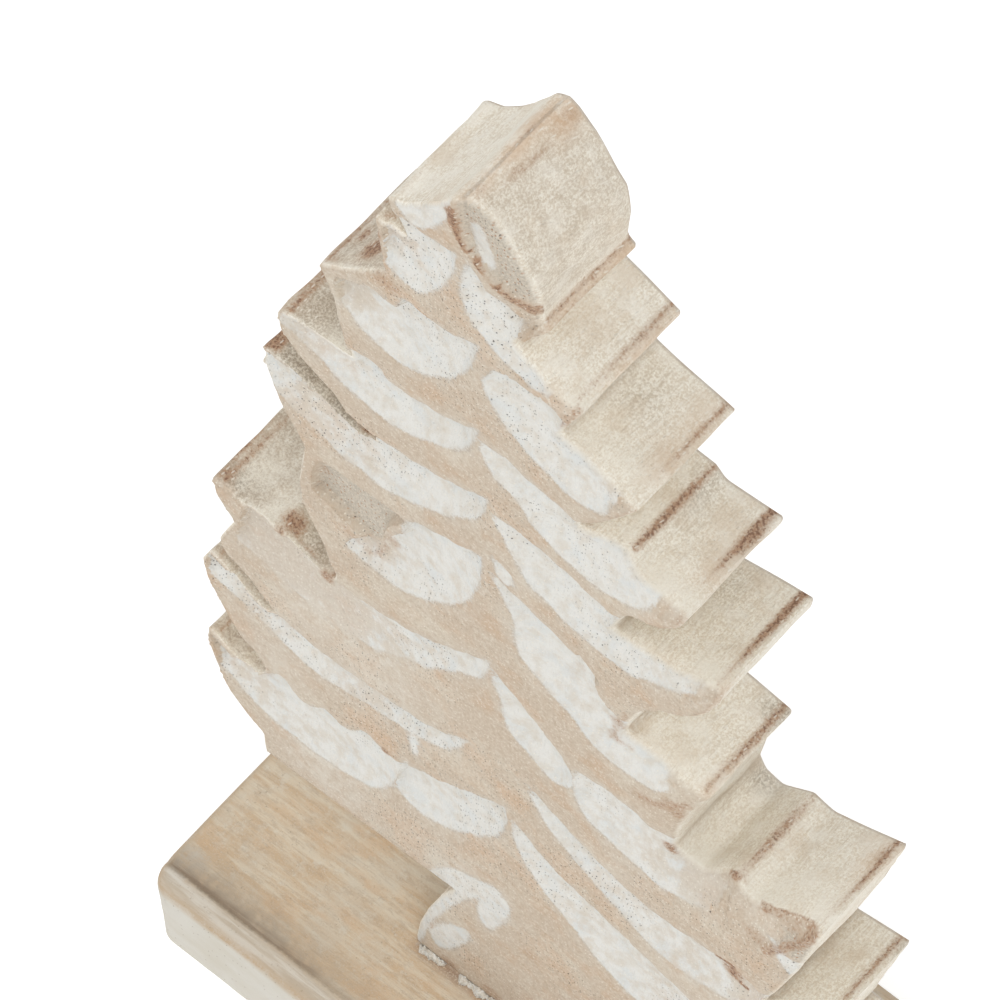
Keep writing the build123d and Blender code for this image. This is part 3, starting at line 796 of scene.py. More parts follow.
def build_base():
    """The base plate: worn edges, the band and scribed line along the front, screw holes underneath."""
    _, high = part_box("base_plate")
    half_x, half_y = high.x / MM, high.y / MM
    loop = rounded_rectangle(half_x, half_y)
    n = len(loop)
    out = outward_normals(loop)
    band = BAND_WIDTH - half_y
    top, all_faces = base_top(loop, out, band)
    wall = base_wall(loop, out, top[:n, 2])
    circles, places, head_radius, seat = screw_circles()
    points, faces = base_underside(wall[-n:, :2], circles)
    starts = [0] + [len(top) + r * n for r in range(BASE_ROWS + len(FOOT_ANGLES))]
    first_low = len(top) + len(wall)
    all_faces += joined_rings(starts, n)
    all_faces += cap_faces(points, faces, n, starts[-1], first_low)
    vertices = [top, wall, np.column_stack([points[n:], np.zeros(len(points) - n)])]
    count = first_low + len(points) - n
    per_circle = len(circles[0])
    for k, x in enumerate(places):
        rings, hole_faces = screw_hole(x, head_radius, seat, first_low + k * per_circle, count)
        vertices.append(rings)
        all_faces += hole_faces
        count += len(rings)
    vertices = np.vstack(vertices)
    return make_object("base_plate_worn", vertices, all_faces, base_masks(vertices, loop, band, half_x), 40)


def base_top(loop, out, band):
    """The top: its edge is rounded, and it slopes in front of the scribed line."""
    low, high = loop.min(0), loop.max(0)
    grid = lattice(low, high, 1.5, 1.3, 0.12)
    fine = lattice((low[0], band - 3), (high[0], band + 3), 0.8, 0.4, 0.05)
    grid = np.vstack([grid[np.abs(grid[:, 1] - band) > 3.2], fine])
    rings = [loop - out * inset for inset in (0.35, 0.8, 1.4, 2.1)]
    grid = thinned(grid[inside_polygon(grid, rings[-1])], rings[-1], 0.5)
    points, faces = triangulated([loop], np.vstack([*rings, grid]))
    near, away = nearest_index(loop, points)
    away[: len(loop)] = 0
    x, y = points.T
    radius = np.clip(1.9 + 0.6 * wave_noise(loop, 20, 41), 1.2, 2.8)[near]
    wander = 0.35 * wave_noise(points[:, :1], 30, 42)
    slope = 1.2 * np.clip((band - y) / BAND_WIDTH, 0, 1.2)
    groove = 0.8 * bell(y - band - wander, 0.9) * (0.75 + 0.25 * wave_noise(points, 12, 43))
    z = BASE_TOP - rounded_drop(radius, away) - slope - groove
    z += 0.12 * wave_noise(points, 14, 44) * ramp(away, 1, 5) - 0.1
    under_trunk = (np.abs(x) < 33) & (np.abs(y) < 16)
    z = np.where(under_trunk, np.minimum(z, BASE_TOP - 0.05), z)
    return np.column_stack([points, z]), oriented(points, faces, True)


def base_wall(loop, out, top_z):
    """Rows of vertices down the sides and round the foot, each row as long as the loop."""
    n = len(loop)
    share = np.linspace(0, 1, BASE_ROWS + 1)[1:]
    z = (top_z[None] + (FOOT_RADIUS - top_z)[None] * share[:, None]).ravel()
    wall = np.column_stack([np.tile(loop, (BASE_ROWS, 1)), z])
    ripple = 0.10 * wave_noise(wall, 10, 45) + 0.04 * wave_noise(wall, 3, 46) - 0.12
    ripple *= np.repeat(np.clip(share * 6, 0, 1), n)
    wall[:, :2] += ripple[:, None] * np.tile(out, (BASE_ROWS, 1))
    rings = []
    for a in np.radians(FOOT_ANGLES):
        ring = loop - out * (FOOT_RADIUS * (1 - math.cos(a)) + 0.12)
        rings.append(np.column_stack([ring, np.full(n, FOOT_RADIUS - FOOT_RADIUS * math.sin(a))]))
    return np.vstack([wall, *rings])


def screw_circles():
    """The mouths of the screw holes in the underside, from where the screws are in the frame."""
    low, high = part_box("fixing_screws")
    radius = (high.y - low.y) / 2 / MM
    spread = high.x / MM - radius
    turn = hole_turn()
    places = (-spread, spread)
    circles = [np.column_stack([x + radius * np.cos(turn), radius * np.sin(turn)]) for x in places]
    return circles, places, radius, low.z / MM


def hole_turn():
    return np.radians(np.arange(0, 360, 10))


def base_underside(outer, circles):
    grid = lattice(outer.min(0), outer.max(0), 4.0, 4.0, 0.4)
    grid = grid[inside_polygon(grid, outer)]
    grid = thinned(grid, np.vstack([outer, *circles]), 1.8)
    for circle in circles:
        grid = grid[~inside_polygon(grid, circle)]
    return triangulated([outer, *circles], grid)


def screw_hole(x, head_radius, seat, mouth, count):
    """A stepped, countersunk hole up from its mouth: new vertices and the faces between them."""
    turn = hole_turn()
    n = len(turn)
    steps = ((head_radius, seat), (HOLE_RADIUS, seat + HEAD_HEIGHT), (HOLE_RADIUS, BASE_TOP - 0.3))
    rings, starts = [], [mouth]
    for radius, z in steps:
        starts.append(count + len(rings) * n)
        rings.append(np.column_stack([x + radius * np.cos(turn), radius * np.sin(turn), np.full(n, z)]))
    faces = joined_rings(starts, n, reverse=True)
    faces.append(tuple(range(starts[-1], starts[-1] + n)))
    return np.vstack(rings), faces


def base_masks(vertices, loop, band, half_x):
    """Per-vertex masks for the material."""
    x, y, z = vertices.T
    _, away = nearest_index(loop, vertices[:, :2])
    is_top = ramp(z, 21.5, 23.2)
    behind = y - band
    joint = bell(-15.8 - y, 0.9) * ramp(34 - np.abs(x), 0, 6)
    return {
        "top": is_top * ramp(away, 0.2, 1.4),
        "rim": bell(away, 1.3) * ramp(z, 21.6, 22.8),
        "corner": bell(x + half_x - 2, 6) * bell(behind - 1, 6) * is_top,
        # painted shade: dark along the scribed groove
        "scribe": bell(behind, 1.1) * is_top * (1 - 0.6 * ramp(x, -50, -38)),
        "shade": bell(np.clip(behind, 0, None), 6) * (behind > -1) * is_top * (1 - 0.5 * ramp(x, -60, -35)),
        "band": ramp(-behind, 0.5, 2.0) * is_top,
        "joint": joint * is_top,
    }


# ---------------------------------------------------------------- the filler
FILLER_RUNS = ((-30.5, -23.0), (-19.5, -6.5), (-3.5, 11.0), (15.0, 30.0))    # from and to along X
FILLER_SIZE = 1.75
FILLER_ARC = 8                # vertices on the visible quarter circle of each section


def build_filler():
    """Dried filler in ragged runs along the foot of the trunk."""
    front, ring = -HALF_THICKNESS + 0.05, FILLER_ARC + 1
    vertices, faces = [], []
    for start, end in FILLER_RUNS:
        x = np.arange(start, end + 0.01, 0.35)
        taper = np.clip(np.minimum(x - start, end - x) / 1.6, 0, 1) ** 0.5
        lumps = 0.22 * wave_noise(x[:, None], 1.6, 51) + 0.1 * wave_noise(x[:, None], 0.7, 52)
        bulk = np.clip(FILLER_SIZE * (0.66 + lumps), 0.45, FILLER_SIZE) * np.clip(taper, 0.18, 1)
        starts = [len(vertices) + i * ring for i in range(len(x))]
        for place, radius in zip(x, bulk):
            for k in range(FILLER_ARC):
                a = math.radians(90 * k / (FILLER_ARC - 1))
                lump = 1 + 0.16 * math.sin(5.1 * place + 2.3 * k) + 0.10 * math.sin(11.7 * place - 3.1 * k)
                reach = min(radius * lump, FILLER_SIZE)
                vertices.append((place, front - reach * math.cos(a), BASE_TOP + reach * math.sin(a)))
            vertices.append((place, -HALF_THICKNESS + 0.9, BASE_TOP - 0.1))
        faces += joined_rings(starts, ring, reverse=True)
        faces.append(tuple(range(starts[0], starts[0] + ring))[::-1])
        faces.append(tuple(range(starts[-1], starts[-1] + ring)))
    return make_object("filler_crust", np.array(vertices), faces, {}, 60)


# ---------------------------------------------------------------- materials
class Nodes:
    """A short way to write a node material. Object coordinates are scaled to millimetres."""

    def __init__(self, name):
        self.material = bpy.data.materials.new(name)
        self.material.use_nodes = True
        self.tree = self.material.node_tree
        self.shader = self.tree.nodes["Principled BSDF"]
        coordinates = self.tree.nodes.new("ShaderNodeTexCoord")
        self.position = self.vector("MULTIPLY", coordinates.outputs["Object"], (1000, 1000, 1000))

    def put(self, socket, value):
        if isinstance(value, bpy.types.NodeSocket):
            self.tree.links.new(value, socket)
        else:
            socket.default_value = value

    def vector(self, operation, a, b):
        n = self.tree.nodes.new("ShaderNodeVectorMath")
        n.operation = operation
        self.put(n.inputs[0], a)
        self.put(n.inputs[1], b)
        return n.outputs[0]

    def math(self, operation, a, b):
        n = self.tree.nodes.new("ShaderNodeMath")
        n.operation = operation
        self.put(n.inputs[0], a)
        self.put(n.inputs[1], b)
        return n.outputs[0]

    def chain(self, operation, values):
        result = values[0]
        for value in values[1:]:
            result = self.math(operation, result, value)
        return result

    def times(self, *values):
        return self.chain("MULTIPLY", values)

    def add(self, *values):
        return self.chain("ADD", values)

    def less(self, value, amount=1.0):
        """1 minus the given share of a mask."""
        return self.math("SUBTRACT", 1.0, self.times(value, amount))

    def swing(self, noise, amount):
        """A noise pattern centred on zero."""
        return self.times(self.math("SUBTRACT", noise, 0.5), amount)

    def attribute(self, name):
        n = self.tree.nodes.new("ShaderNodeAttribute")
        n.attribute_name = name
        return n.outputs["Fac"]

    def attributes(self, names):
        return [self.attribute(name) for name in names.split()]

    def combine(self, x, y, z):
        n = self.tree.nodes.new("ShaderNodeCombineXYZ")
        for socket, value in zip(n.inputs, (x, y, z)):
            self.put(socket, value)
        return n.outputs[0]

    def split(self, vector):
        n = self.tree.nodes.new("ShaderNodeSeparateXYZ")
        self.put(n.inputs[0], vector)
        return n.outputs

    def noise(self, scale, detail=3.0, roughness=0.55, stretch=(1, 1, 1), at=None, distortion=0.0):
        n = self.tree.nodes.new("ShaderNodeTexNoise")
        self.put(n.inputs["Vector"], self.vector("MULTIPLY", at or self.position, stretch))
        settings = {"Scale": scale, "Detail": detail, "Roughness": roughness, "Distortion": distortion}
        for name, value in settings.items():
            n.inputs[name].default_value = value
        return n.outputs["Fac"]

    def step(self, value, low, high, out_low=0.0, out_high=1.0):
        """Smooth change from out_low to out_high as value goes from low to high."""
        n = self.tree.nodes.new("ShaderNodeMapRange")
        n.interpolation_type = "SMOOTHSTEP"
        for socket, number in zip(n.inputs, (value, low, high, out_low, out_high)):
            self.put(socket, number)
        return n.outputs["Result"]

    def specks(self, scale, size, share):
        """Small round marks in the X, Z plane: 1 inside a mark. Only a share of the cells has one."""
        x, y, z = self.split(self.position)
        n = self.tree.nodes.new("ShaderNodeTexVoronoi")
        n.voronoi_dimensions = "2D"
        self.put(n.inputs["Vector"], self.combine(x, self.add(z, self.times(y, 0.4)), 0.0))
        n.inputs["Scale"].default_value = scale
        chosen = self.step(self.split(n.outputs["Color"])[0], 1 - share, 1 - share + 0.02)
        return self.times(chosen, self.step(n.outputs["Distance"], size * 0.6, size, 1.0, 0.0))

    def mix(self, factor, a, b):
        n = self.tree.nodes.new("ShaderNodeMix")
        n.data_type = "RGBA"
        self.put(n.inputs[0], factor)
        for socket, value in ((n.inputs[6], a), (n.inputs[7], b)):
            self.put(socket, (*value, 1.0) if isinstance(value, tuple) else value)
        return n.outputs[2]

    def over(self, base, colour, amount, *masks):
        """The base with a colour laid over it where all the masks are high."""
        return self.mix(self.times(*masks, amount), base, colour)

    def finish(self, colour, roughness, height, strength, distance=0.0006):
        self.put(self.shader.inputs["Base Color"], colour)
        self.put(self.shader.inputs["Roughness"], roughness)
        bump = self.tree.nodes.new("ShaderNodeBump")
        bump.inputs["Strength"].default_value = strength
        bump.inputs["Distance"].default_value = distance
        self.put(bump.inputs["Height"], height)
        self.put(self.shader.inputs["Normal"], bump.outputs["Normal"])
        self.shader.inputs["Specular IOR Level"].default_value = 0.25
        return self.material


# paint and bare wood
WHITE = (0.745, 0.735, 0.695)
WHITE_BLUE = (0.665, 0.685, 0.675)
WHITE_DUSTY = (0.62, 0.58, 0.51)
WHITE_BRUSHED = (0.60, 0.595, 0.565)
CREAM = (0.66, 0.60, 0.495)
HAZE = (0.66, 0.62, 0.545)
WASH = (0.72, 0.68, 0.60)
TAN = (0.53, 0.42, 0.315)
TAN_LIGHT = (0.60, 0.515, 0.41)
TAN_DARK = (0.42, 0.32, 0.225)
TAN_WARM = (0.56, 0.40, 0.27)
TAN_ORANGE = (0.63, 0.43, 0.28)
DUST = (0.72, 0.66, 0.56)
PALE_PORE = (0.72, 0.66, 0.57)
PALE_GRAIN = (0.80, 0.75, 0.66)
# marks
ORANGE = (0.58, 0.36, 0.20)
BROWN = (0.40, 0.24, 0.15)
BROWN_SOFT = (0.47, 0.32, 0.21)
BROWN_EDGE_AND_SHADE = (0.36, 0.25, 0.165)
BROWN_DARK = (0.20, 0.11, 0.07)
DARK_STAIN_AND_SHADE = (0.27, 0.23, 0.18)
BLACK = (0.05, 0.04, 0.035)
# floors of the hollows
GREY = (0.46, 0.41, 0.34)
FLOOR_SAND = (0.62, 0.55, 0.45)
FLOOR_PALE = (0.66, 0.63, 0.56)
# sawn sides and back
SAWN = ((0.73, 0.65, 0.525), (0.92, 0.88, 0.78))
SAWN_SHADED = ((0.44, 0.35, 0.26), (0.64, 0.57, 0.465))
SAWN_DIRT = (0.56, 0.46, 0.35)
SAWN_LINE = (0.62, 0.54, 0.43)
SAWN_STREAK = (0.90, 0.87, 0.78)
SAWN_FLECK = (0.60, 0.50, 0.38)
SAWN_WASHED = (0.86, 0.82, 0.73)
SAWN_WORN = (0.68, 0.57, 0.44)
SAWN_CREAM = (0.80, 0.76, 0.66)
BACK_WASH = (0.68, 0.63, 0.545)
BACK_PALE = (0.70, 0.67, 0.60)


def board_material():
    n = Nodes("whitewashed_board")
    f = SimpleNamespace(
        fibre=n.noise(2.6, 5, 0.6, (1.0, 1.0, 0.10), distortion=0.3),
        fine_fibre=n.noise(6.5, 3, 0.6, (1.0, 1.0, 0.07)),
        cloud=n.noise(0.35, 5, 0.62),
        grain=n.noise(2.2, 5, 0.68),
        dust=n.noise(5.5, 3, 0.7),
        pores=n.noise(1.25, 4, 0.75),
    )
    side, back = n.attributes("side back")
    wood = bare_wood(n, f)
    front, cover = painted_front(n, f, wood)
    sides, lines = sawn_sides(n, f)
    colour = n.mix(side, front, sides)
    colour = n.mix(back, colour, washed_back(n, f, wood))
    colour = rubbed_through(n, colour)

    # dark pinholes in the paint, light grains on bare wood
    cluster = n.step(n.noise(0.05, 3, 0.5), 0.46, 0.60)
    coarse = n.times(n.specks(0.70, 0.13, 0.26), n.add(n.times(cluster, 0.90), 0.03))
    fine = n.times(n.specks(1.45, 0.18, 0.24), n.add(n.times(cluster, 0.75), 0.08))
    pin = n.times(n.math("MAXIMUM", coarse, fine), n.less(side, 0.85), n.less(back))
    colour = n.over(colour, BLACK, 0.85, pin)
    colour = n.over(colour, PALE_GRAIN, 0.65, n.specks(0.95, 0.20, 0.25))

    height = n.add(n.times(f.grain, 0.30), n.times(f.fibre, 0.25, n.less(side)), n.times(f.dust, 0.14),
                   n.times(lines, side, 0.42), n.times(cover, 0.12), n.times(pin, -0.6),
                   n.times(f.pores, 0.35), n.times(f.cloud, 0.5))
    roughness = n.add(0.80, n.swing(f.cloud, 0.25), n.times(cover, -0.10))
    return n.finish(colour, roughness, height, 0.75)


def bare_wood(n, f):
    """Bare sanded wood with a thin wash over it."""
    wood = n.mix(n.step(f.fibre, 0.25, 0.75, 0.25, 0.75), TAN, TAN_LIGHT)
    wood = n.over(wood, TAN_DARK, 0.22, n.step(f.fine_fibre, 0.58, 0.74))
    wood = n.over(wood, TAN_WARM, 0.65, n.step(n.noise(0.11, 5, 0.62), 0.48, 0.68))
    wood = n.over(wood, CREAM, 0.50, n.step(n.noise(0.075, 4, 0.6), 0.46, 0.68))
    wood = n.over(wood, TAN_ORANGE, 0.45, n.step(n.noise(0.05, 4, 0.65), 0.52, 0.68))
    wood = n.over(wood, TAN_DARK, 0.35, n.step(f.grain, 0.56, 0.72))
    wood = n.over(wood, DUST, 0.40, n.step(f.dust, 0.56, 0.70))
    wood = n.over(wood, TAN_DARK, 0.45, n.step(f.pores, 0.53, 0.63))
    return n.over(wood, PALE_PORE, 0.55, n.step(f.pores, 0.37, 0.47, 1.0, 0.0))


def painted_front(n, f, wood):
    """Opaque paint in the carved strokes, a thin wash around them. Also returns where the paint covers."""
    white, worn, grey, cream = n.attributes("white worn grey cream")
    inside = n.add(white, n.swing(f.grain, 2.6), n.swing(f.cloud, 2.4), n.times(worn, -2.4))
    thin = n.step(n.add(worn, n.swing(f.cloud, 1.6)), 0.35, 1.05)
    cover = n.times(n.step(inside, -0.55, 0.65), n.less(thin, 0.75))
    patchy = n.step(n.add(f.cloud, n.times(worn, 0.32)), 0.46, 0.78)
    paint = n.mix(n.step(n.noise(0.16, 4, 0.6), 0.46, 0.66, 0.0, 0.7), WHITE, WHITE_BLUE)
    paint = n.over(paint, WHITE_DUSTY, 0.35, n.step(f.dust, 0.50, 0.66))
    paint = n.over(paint, CREAM, 0.3, n.step(f.cloud, 0.54, 0.74))
    paint = n.over(paint, WHITE_BRUSHED, 0.40, n.step(n.noise(1.9, 4, 0.65, (1.0, 1.0, 0.14)), 0.53, 0.66))
    front = n.mix(n.times(cover, n.less(patchy, 0.45)), wood, paint)

    # brown outline of the wood at the paint's edge, also painted shade along the carved edges of the
    # strokes
    rim = n.times(n.step(white, -1.1, -0.2), n.step(white, 0.1, 0.9, 1.0, 0.0))
    front = n.over(front, BROWN_EDGE_AND_SHADE, 0.6, rim, n.step(f.pores, 0.42, 0.60), n.step(f.cloud, 0.44, 0.62))
    front = n.over(front, HAZE, 0.38, n.step(white, -4.5, 0.2), n.step(f.cloud, 0.38, 0.62))
    front = n.over(front, WASH, 0.75, cream, n.step(f.cloud, 0.34, 0.62, 0.3, 1.0), n.less(cover))

    # dirty floors of the hollows
    floor = n.mix(n.step(f.grain, 0.42, 0.60), GREY, FLOOR_SAND)
    floor = n.over(floor, FLOOR_PALE, 0.6, n.step(n.noise(1.5, 4, 0.7), 0.50, 0.62))
    floor = n.mix(n.specks(1.1, 0.30, 0.25), floor, BROWN)
    return n.over(front, floor, 0.9, grey, n.step(white, -1.2, 0.4, 1.0, 0.0)), cover


def sawn_sides(n, f):
    """Cream wash over sandy wood, with fine saw lines along the thickness. Also returns the lines."""
    arc, left, notch, orange, soot, cream = n.attributes("arc left notch orange soot cream")
    sawn = n.combine(arc, n.times(n.split(n.position)[1], 0.10), 0.0)
    lines, streaks = n.noise(1.5, 4, 0.62, at=sawn), n.noise(2.8, 3, 0.6, at=sawn)
    flecks = n.noise(1.9, 5, 0.75)
    sand = n.mix(n.step(flecks, 0.42, 0.60), *SAWN)
    sand = n.over(sand, SAWN_DIRT, 0.40, n.step(f.dust, 0.54, 0.68))
    sand = n.over(sand, SAWN_LINE, 1.0, n.step(lines, 0.50, 0.66), n.step(f.cloud, 0.36, 0.60, 0.25, 0.65))
    sand = n.over(sand, SAWN_STREAK, 0.5, n.step(streaks, 0.50, 0.62), n.less(left))
    sand = n.over(sand, SAWN_FLECK, 0.35, n.step(n.noise(1.1, 4, 0.7), 0.52, 0.64))
    sand = n.over(sand, SAWN_WASHED, 0.6, n.step(n.noise(0.16, 4, 0.6), 0.46, 0.66))
    sand = n.over(sand, SAWN_WORN, 0.5, n.step(n.noise(0.10, 4, 0.6), 0.50, 0.68))
    shaded = n.mix(n.step(flecks, 0.42, 0.60), *SAWN_SHADED)
    sand = n.over(sand, shaded, 0.85, left, n.step(f.cloud, 0.30, 0.60, 0.35, 1.0))
    # painted shade: the sides are darker in the inner corners at the notches
    sand = n.over(sand, TAN_DARK, 0.45, notch)
    sand = n.over(sand, ORANGE, 0.55, orange, n.step(f.cloud, 0.30, 0.56, 0.35, 1.0))
    # dark stains near the tips, and painted shade in the slits under the boughs
    sand = n.over(sand, DARK_STAIN_AND_SHADE, 0.85, soot, n.step(flecks, 0.36, 0.60, 1.0, 0.25))
    return n.over(sand, SAWN_CREAM, 0.8, cream, n.step(flecks, 0.30, 0.52, 0.35, 1.0)), lines


def washed_back(n, f, wood):
    """Sanded and thinly washed along the grain."""
    drawn = n.noise(0.30, 5, 0.62, (1.0, 1.0, 0.12))
    rear = n.mix(n.step(drawn, 0.34, 0.68, 0.25, 0.85), wood, BACK_WASH)
    rear = n.over(rear, TAN_DARK, 0.3, n.step(f.fine_fibre, 0.56, 0.70))
    return n.over(rear, BACK_PALE, 0.5, n.step(n.noise(0.05, 4, 0.6), 0.46, 0.66))


def rubbed_through(n, colour):
    """Brown where edges are rubbed through: a soft tint, then dots, then dark knots."""
    brown = n.attribute("brown")
    colour = n.mix(n.step(brown, 0.10, 0.90, 0.0, 0.60), colour, BROWN_SOFT)
    dots = n.step(n.add(n.times(brown, 0.85), n.swing(n.noise(1.3, 4, 0.7), 2.2)), 0.30, 0.95)
    colour = n.over(colour, BROWN, 0.85, dots, n.step(brown, 0.03, 0.25))
    knots = n.step(n.add(n.times(brown, 0.62), n.swing(n.noise(1.7, 3, 0.6), 3.0)), 0.50, 0.85)
    return n.over(colour, BROWN_DARK, 0.80, knots, n.step(brown, 0.40, 0.75))


# the base plate's wood, from dark to light, and its marks
OAK = ((0.575, 0.435, 0.29), (0.67, 0.575, 0.44))
OAK_FIBRE = (0.46, 0.36, 0.26)
OAK_GREY = (0.61, 0.55, 0.45)
OAK_WASHED = (0.66, 0.62, 0.53)
OAK_ORANGE = (0.61, 0.43, 0.27)
OAK_DARK = (0.44, 0.34, 0.24)
OAK_GRAIN = (0.68, 0.62, 0.52)
OAK_SHADE = (0.36, 0.30, 0.23)
SCRIBE_SHADE = (0.24, 0.18, 0.125)
OAK_BAND = ((0.64, 0.60, 0.53), (0.50, 0.43, 0.34))
OAK_RIM = (0.47, 0.33, 0.195)
OAK_PIT = (0.30, 0.23, 0.16)
OAK_SPECK = (0.24, 0.18, 0.13)
CORNER_PAINT = (0.72, 0.69, 0.62)
SIDE_WASH = ((0.625, 0.60, 0.54), (0.585, 0.55, 0.475))
SIDE_DIRT = (0.52, 0.47, 0.39)
JOINT_BROWN = (0.24, 0.12, 0.07)


def base_material():
    n = Nodes("whitewashed_base")
    top, rim, scribe, shade, band, joint, corner = n.attributes("top rim scribe shade band joint corner")
    streak = n.noise(0.55, 5, 0.62, (0.10, 1.0, 1.0))
    fibre = n.noise(2.4, 4, 0.65, (0.07, 1.0, 1.0))
    mottle = n.noise(0.30, 5, 0.6)
    grain = n.noise(2.4, 4, 0.65)

    wood = n.mix(n.step(streak, 0.38, 0.62), *OAK)
    wood = n.over(wood, OAK_FIBRE, 0.50, n.step(fibre, 0.52, 0.70))
    wood = n.over(wood, OAK_GREY, 0.5, n.step(n.noise(0.09, 4, 0.6), 0.44, 0.64))
    wood = n.over(wood, OAK_WASHED, 0.45, n.step(mottle, 0.54, 0.70))
    wood = n.over(wood, OAK_ORANGE, 0.55, n.step(n.noise(0.16, 4, 0.6, (0.5, 1, 1)), 0.50, 0.66))
    wood = n.over(wood, OAK_DARK, 0.40, n.step(n.noise(0.9, 5, 0.7, (0.35, 1, 1)), 0.50, 0.64))
    wood = n.over(wood, OAK_GRAIN, 0.35, n.step(grain, 0.52, 0.66))
    wood = n.over(wood, CORNER_PAINT, 0.8, corner, n.step(mottle, 0.40, 0.60))
    wood = n.over(wood, OAK_SHADE, 0.85, shade, n.step(mottle, 0.28, 0.60, 0.4, 1.0))
    # painted shade in the scribed groove
    wood = n.over(wood, SCRIBE_SHADE, 0.9, scribe, n.step(streak, 0.32, 0.50, 0.3, 1.0))
    wood = n.over(wood, n.mix(n.step(streak, 0.40, 0.60), *OAK_BAND), 0.85, band)

    wash = n.mix(n.step(n.noise(0.10, 4, 0.6, (0.5, 1, 1)), 0.36, 0.66), *SIDE_WASH)
    wash = n.over(wash, SIDE_DIRT, 0.25, n.step(mottle, 0.58, 0.74))
    colour = n.mix(top, wash, wood)
    uneven = n.add(n.times(grain, 0.4), n.times(streak, 0.6), n.times(mottle, 0.5))
    colour = n.over(colour, OAK_RIM, 0.9, rim, n.step(uneven, 0.56, 0.80, 0.40, 1.0))
    colour = n.over(colour, JOINT_BROWN, 0.9, joint, n.step(grain, 0.34, 0.52))
    colour = n.over(colour, OAK_SPECK, 0.6, n.specks(0.8, 0.16, 0.12), n.less(top))
    colour = n.over(colour, OAK_PIT, 0.5, top, n.step(n.noise(1.3, 4, 0.75), 0.62, 0.68))
    height = n.add(n.times(streak, 0.3), n.times(fibre, 0.3), n.times(grain, 0.2))
    return n.finish(colour, n.add(0.78, n.swing(mottle, 0.25)), height, 0.5)


FILLER = ((0.80, 0.78, 0.72), (0.66, 0.60, 0.50))
FILLER_CRACK = (0.42, 0.30, 0.22)
ZINC = ((0.60, 0.59, 0.56), (0.44, 0.41, 0.36))
STUDIO_WHITE = ((0.955, 0.955, 0.955), (0.94, 0.94, 0.94))


def filler_material():
    n = Nodes("dried_filler")
    lump = n.noise(1.1, 5, 0.65)
    crack = n.noise(3.6, 4, 0.7)
    colour = n.mix(n.step(lump, 0.36, 0.62), *FILLER)
    colour = n.over(colour, FILLER_CRACK, 0.6, n.step(crack, 0.60, 0.72))
    height = n.add(n.times(lump, 0.6), n.times(crack, 0.3))
    return n.finish(colour, n.add(0.82, n.swing(lump, 0.2)), height, 0.8)


def steel_material():
    n = Nodes("zinc_plated_steel")
    turning = n.noise(3.0, 3, 0.6, (1, 1, 0.3))
    tarnish = n.noise(0.6, 5, 0.6)
    colour = n.mix(n.step(tarnish, 0.40, 0.66), *ZINC)
    material = n.finish(colour, n.add(0.30, n.times(tarnish, 0.25)), turning, 0.35, 0.0002)
    n.shader.inputs["Metallic"].default_value = 1.0
    return material


def floor_material():
    n = Nodes("studio_floor")
    soft = n.noise(0.004, 3, 0.5)
    colour = n.mix(n.step(soft, 0.3, 0.7), *STUDIO_WHITE)
    n.shader.inputs["Emission Color"].default_value = (1.0, 1.0, 1.0, 1.0)
    n.shader.inputs["Emission Strength"].default_value = 0.34
    return n.finish(colour, n.add(0.9, n.times(soft, 0.05)), soft, 0.02)


# ---------------------------------------------------------------- stage, in metres and degrees
CAMERA_AZIMUTH, CAMERA_ELEVATION, CAMERA_ROLL = 45.29, 60.30, -4.885
CAMERA_TARGET = (-10.556 * MM, 0, 214.948 * MM)
CAMERA_DISTANCE = 1.5368
CAMERA_LENS = 294.1
WORLD_STRENGTH = 0.65
FLOOR_HALF, FLOOR_TILES = 6.0, 24
LIGHT_AIM = (0, 0, 0.16)
LIGHTS = (                    # name, place, size and power
    ("key", (0.9, -0.8, 1.8), 0.9, 12.5),
    ("fill", (-1.1, -0.6, 1.5), 1.2, 6),
)


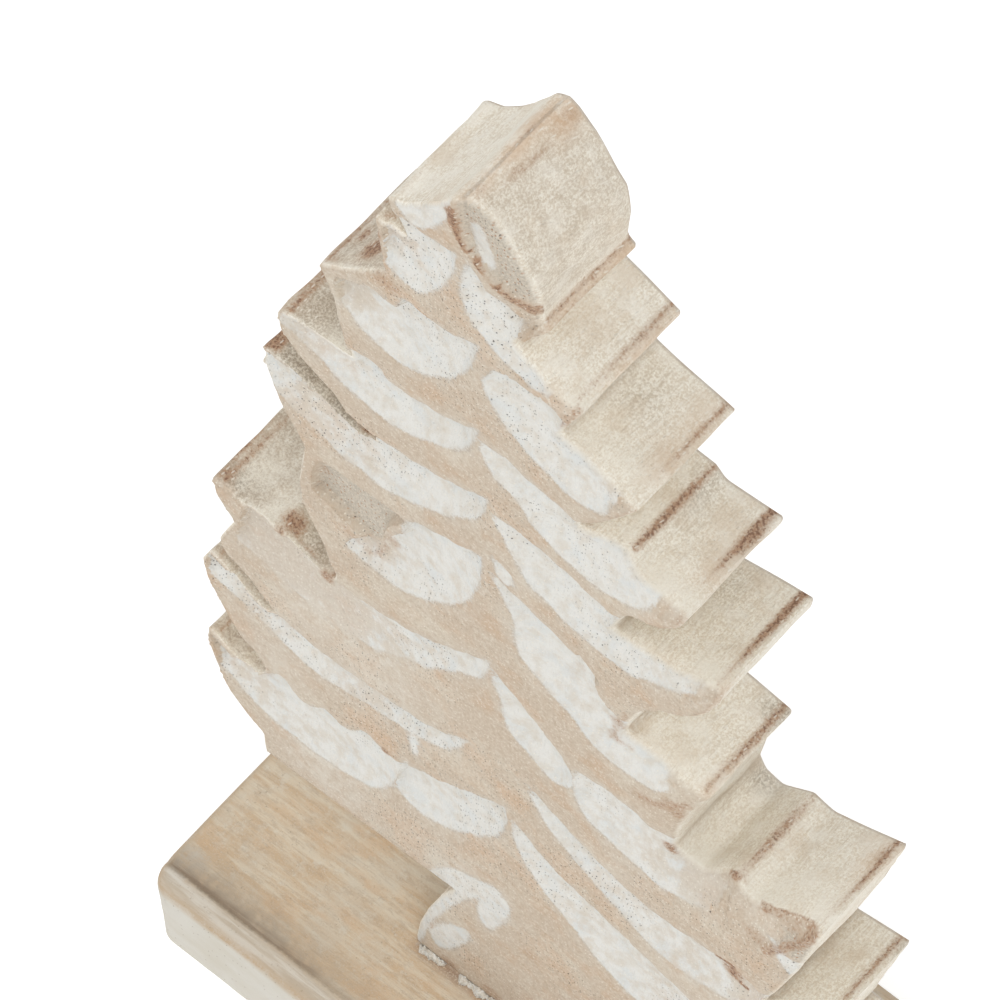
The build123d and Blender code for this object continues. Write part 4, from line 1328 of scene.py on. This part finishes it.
def add_camera():
    """A camera to the right of the front and well above it, with a long lens and a slight roll."""
    azimuth, elevation, roll = np.radians((CAMERA_AZIMUTH, CAMERA_ELEVATION, CAMERA_ROLL))
    flat = math.cos(elevation)
    back = Vector((math.sin(azimuth) * flat, -math.cos(azimuth) * flat, math.sin(elevation)))
    side = (-back).cross(Vector((0, 0, 1))).normalized()
    up = side.cross(-back).normalized()
    right = side * math.cos(roll) + up * math.sin(roll)
    top = -side * math.sin(roll) + up * math.cos(roll)
    camera = bpy.data.objects.new("camera", bpy.data.cameras.new("camera"))
    camera.data.sensor_width = 36
    camera.data.lens = CAMERA_LENS
    camera.data.clip_start, camera.data.clip_end = 0.1, 20
    turn = Matrix((right, top, back)).transposed().to_4x4()
    camera.matrix_world = Matrix.Translation(Vector(CAMERA_TARGET) + back * CAMERA_DISTANCE) @ turn
    bpy.context.scene.collection.objects.link(camera)
    bpy.context.scene.camera = camera


def add_light(name, place, size, power):
    light = bpy.data.lights.new(name, "AREA")
    light.shape = "DISK"
    light.size = size
    light.energy = power
    item = bpy.data.objects.new(name, light)
    item.location = place
    item.rotation_mode = "QUATERNION"
    item.rotation_quaternion = (Vector(LIGHT_AIM) - Vector(place)).to_track_quat("-Z", "Y")
    bpy.context.scene.collection.objects.link(item)


def add_stage():
    """White floor, even white surroundings, a soft key light and a softer fill."""
    world = bpy.data.worlds.new("studio")
    world.use_nodes = True
    background = world.node_tree.nodes["Background"]
    background.inputs["Color"].default_value = (1.0, 1.0, 1.0, 1.0)
    background.inputs["Strength"].default_value = WORLD_STRENGTH
    bpy.context.scene.world = world
    for light in LIGHTS:
        add_light(*light)
    mesh = bpy.data.meshes.new("floor")
    line = np.linspace(-FLOOR_HALF, FLOOR_HALF, FLOOR_TILES + 1)
    vertices = [(x, y, 0.0) for y in line for x in line]
    row = FLOOR_TILES + 1
    corners = [j * row + i for j in range(FLOOR_TILES) for i in range(FLOOR_TILES)]
    mesh.from_pydata(vertices, [], [(c, c + 1, c + row + 1, c + row) for c in corners])
    mesh.materials.append(floor_material())
    floor = bpy.data.objects.new("floor", mesh)
    bpy.context.scene.collection.objects.link(floor)
    bpy.context.scene.view_settings.view_transform = "Standard"


add_camera()
add_stage()

board = build_board()
board.data.materials.append(board_material())
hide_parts("tree_board")
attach(board, "root")

base = build_base()
base.data.materials.append(base_material())
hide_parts("base_plate")
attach(base, "root")

filler = build_filler()
filler.data.materials.append(filler_material())
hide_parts("filler_bead")
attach(filler, "root")

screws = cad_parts["fixing_screws"]
steel = steel_material()
for slot in screws.material_slots:
    slot.material = steel

bpy.context.view_layer.update()
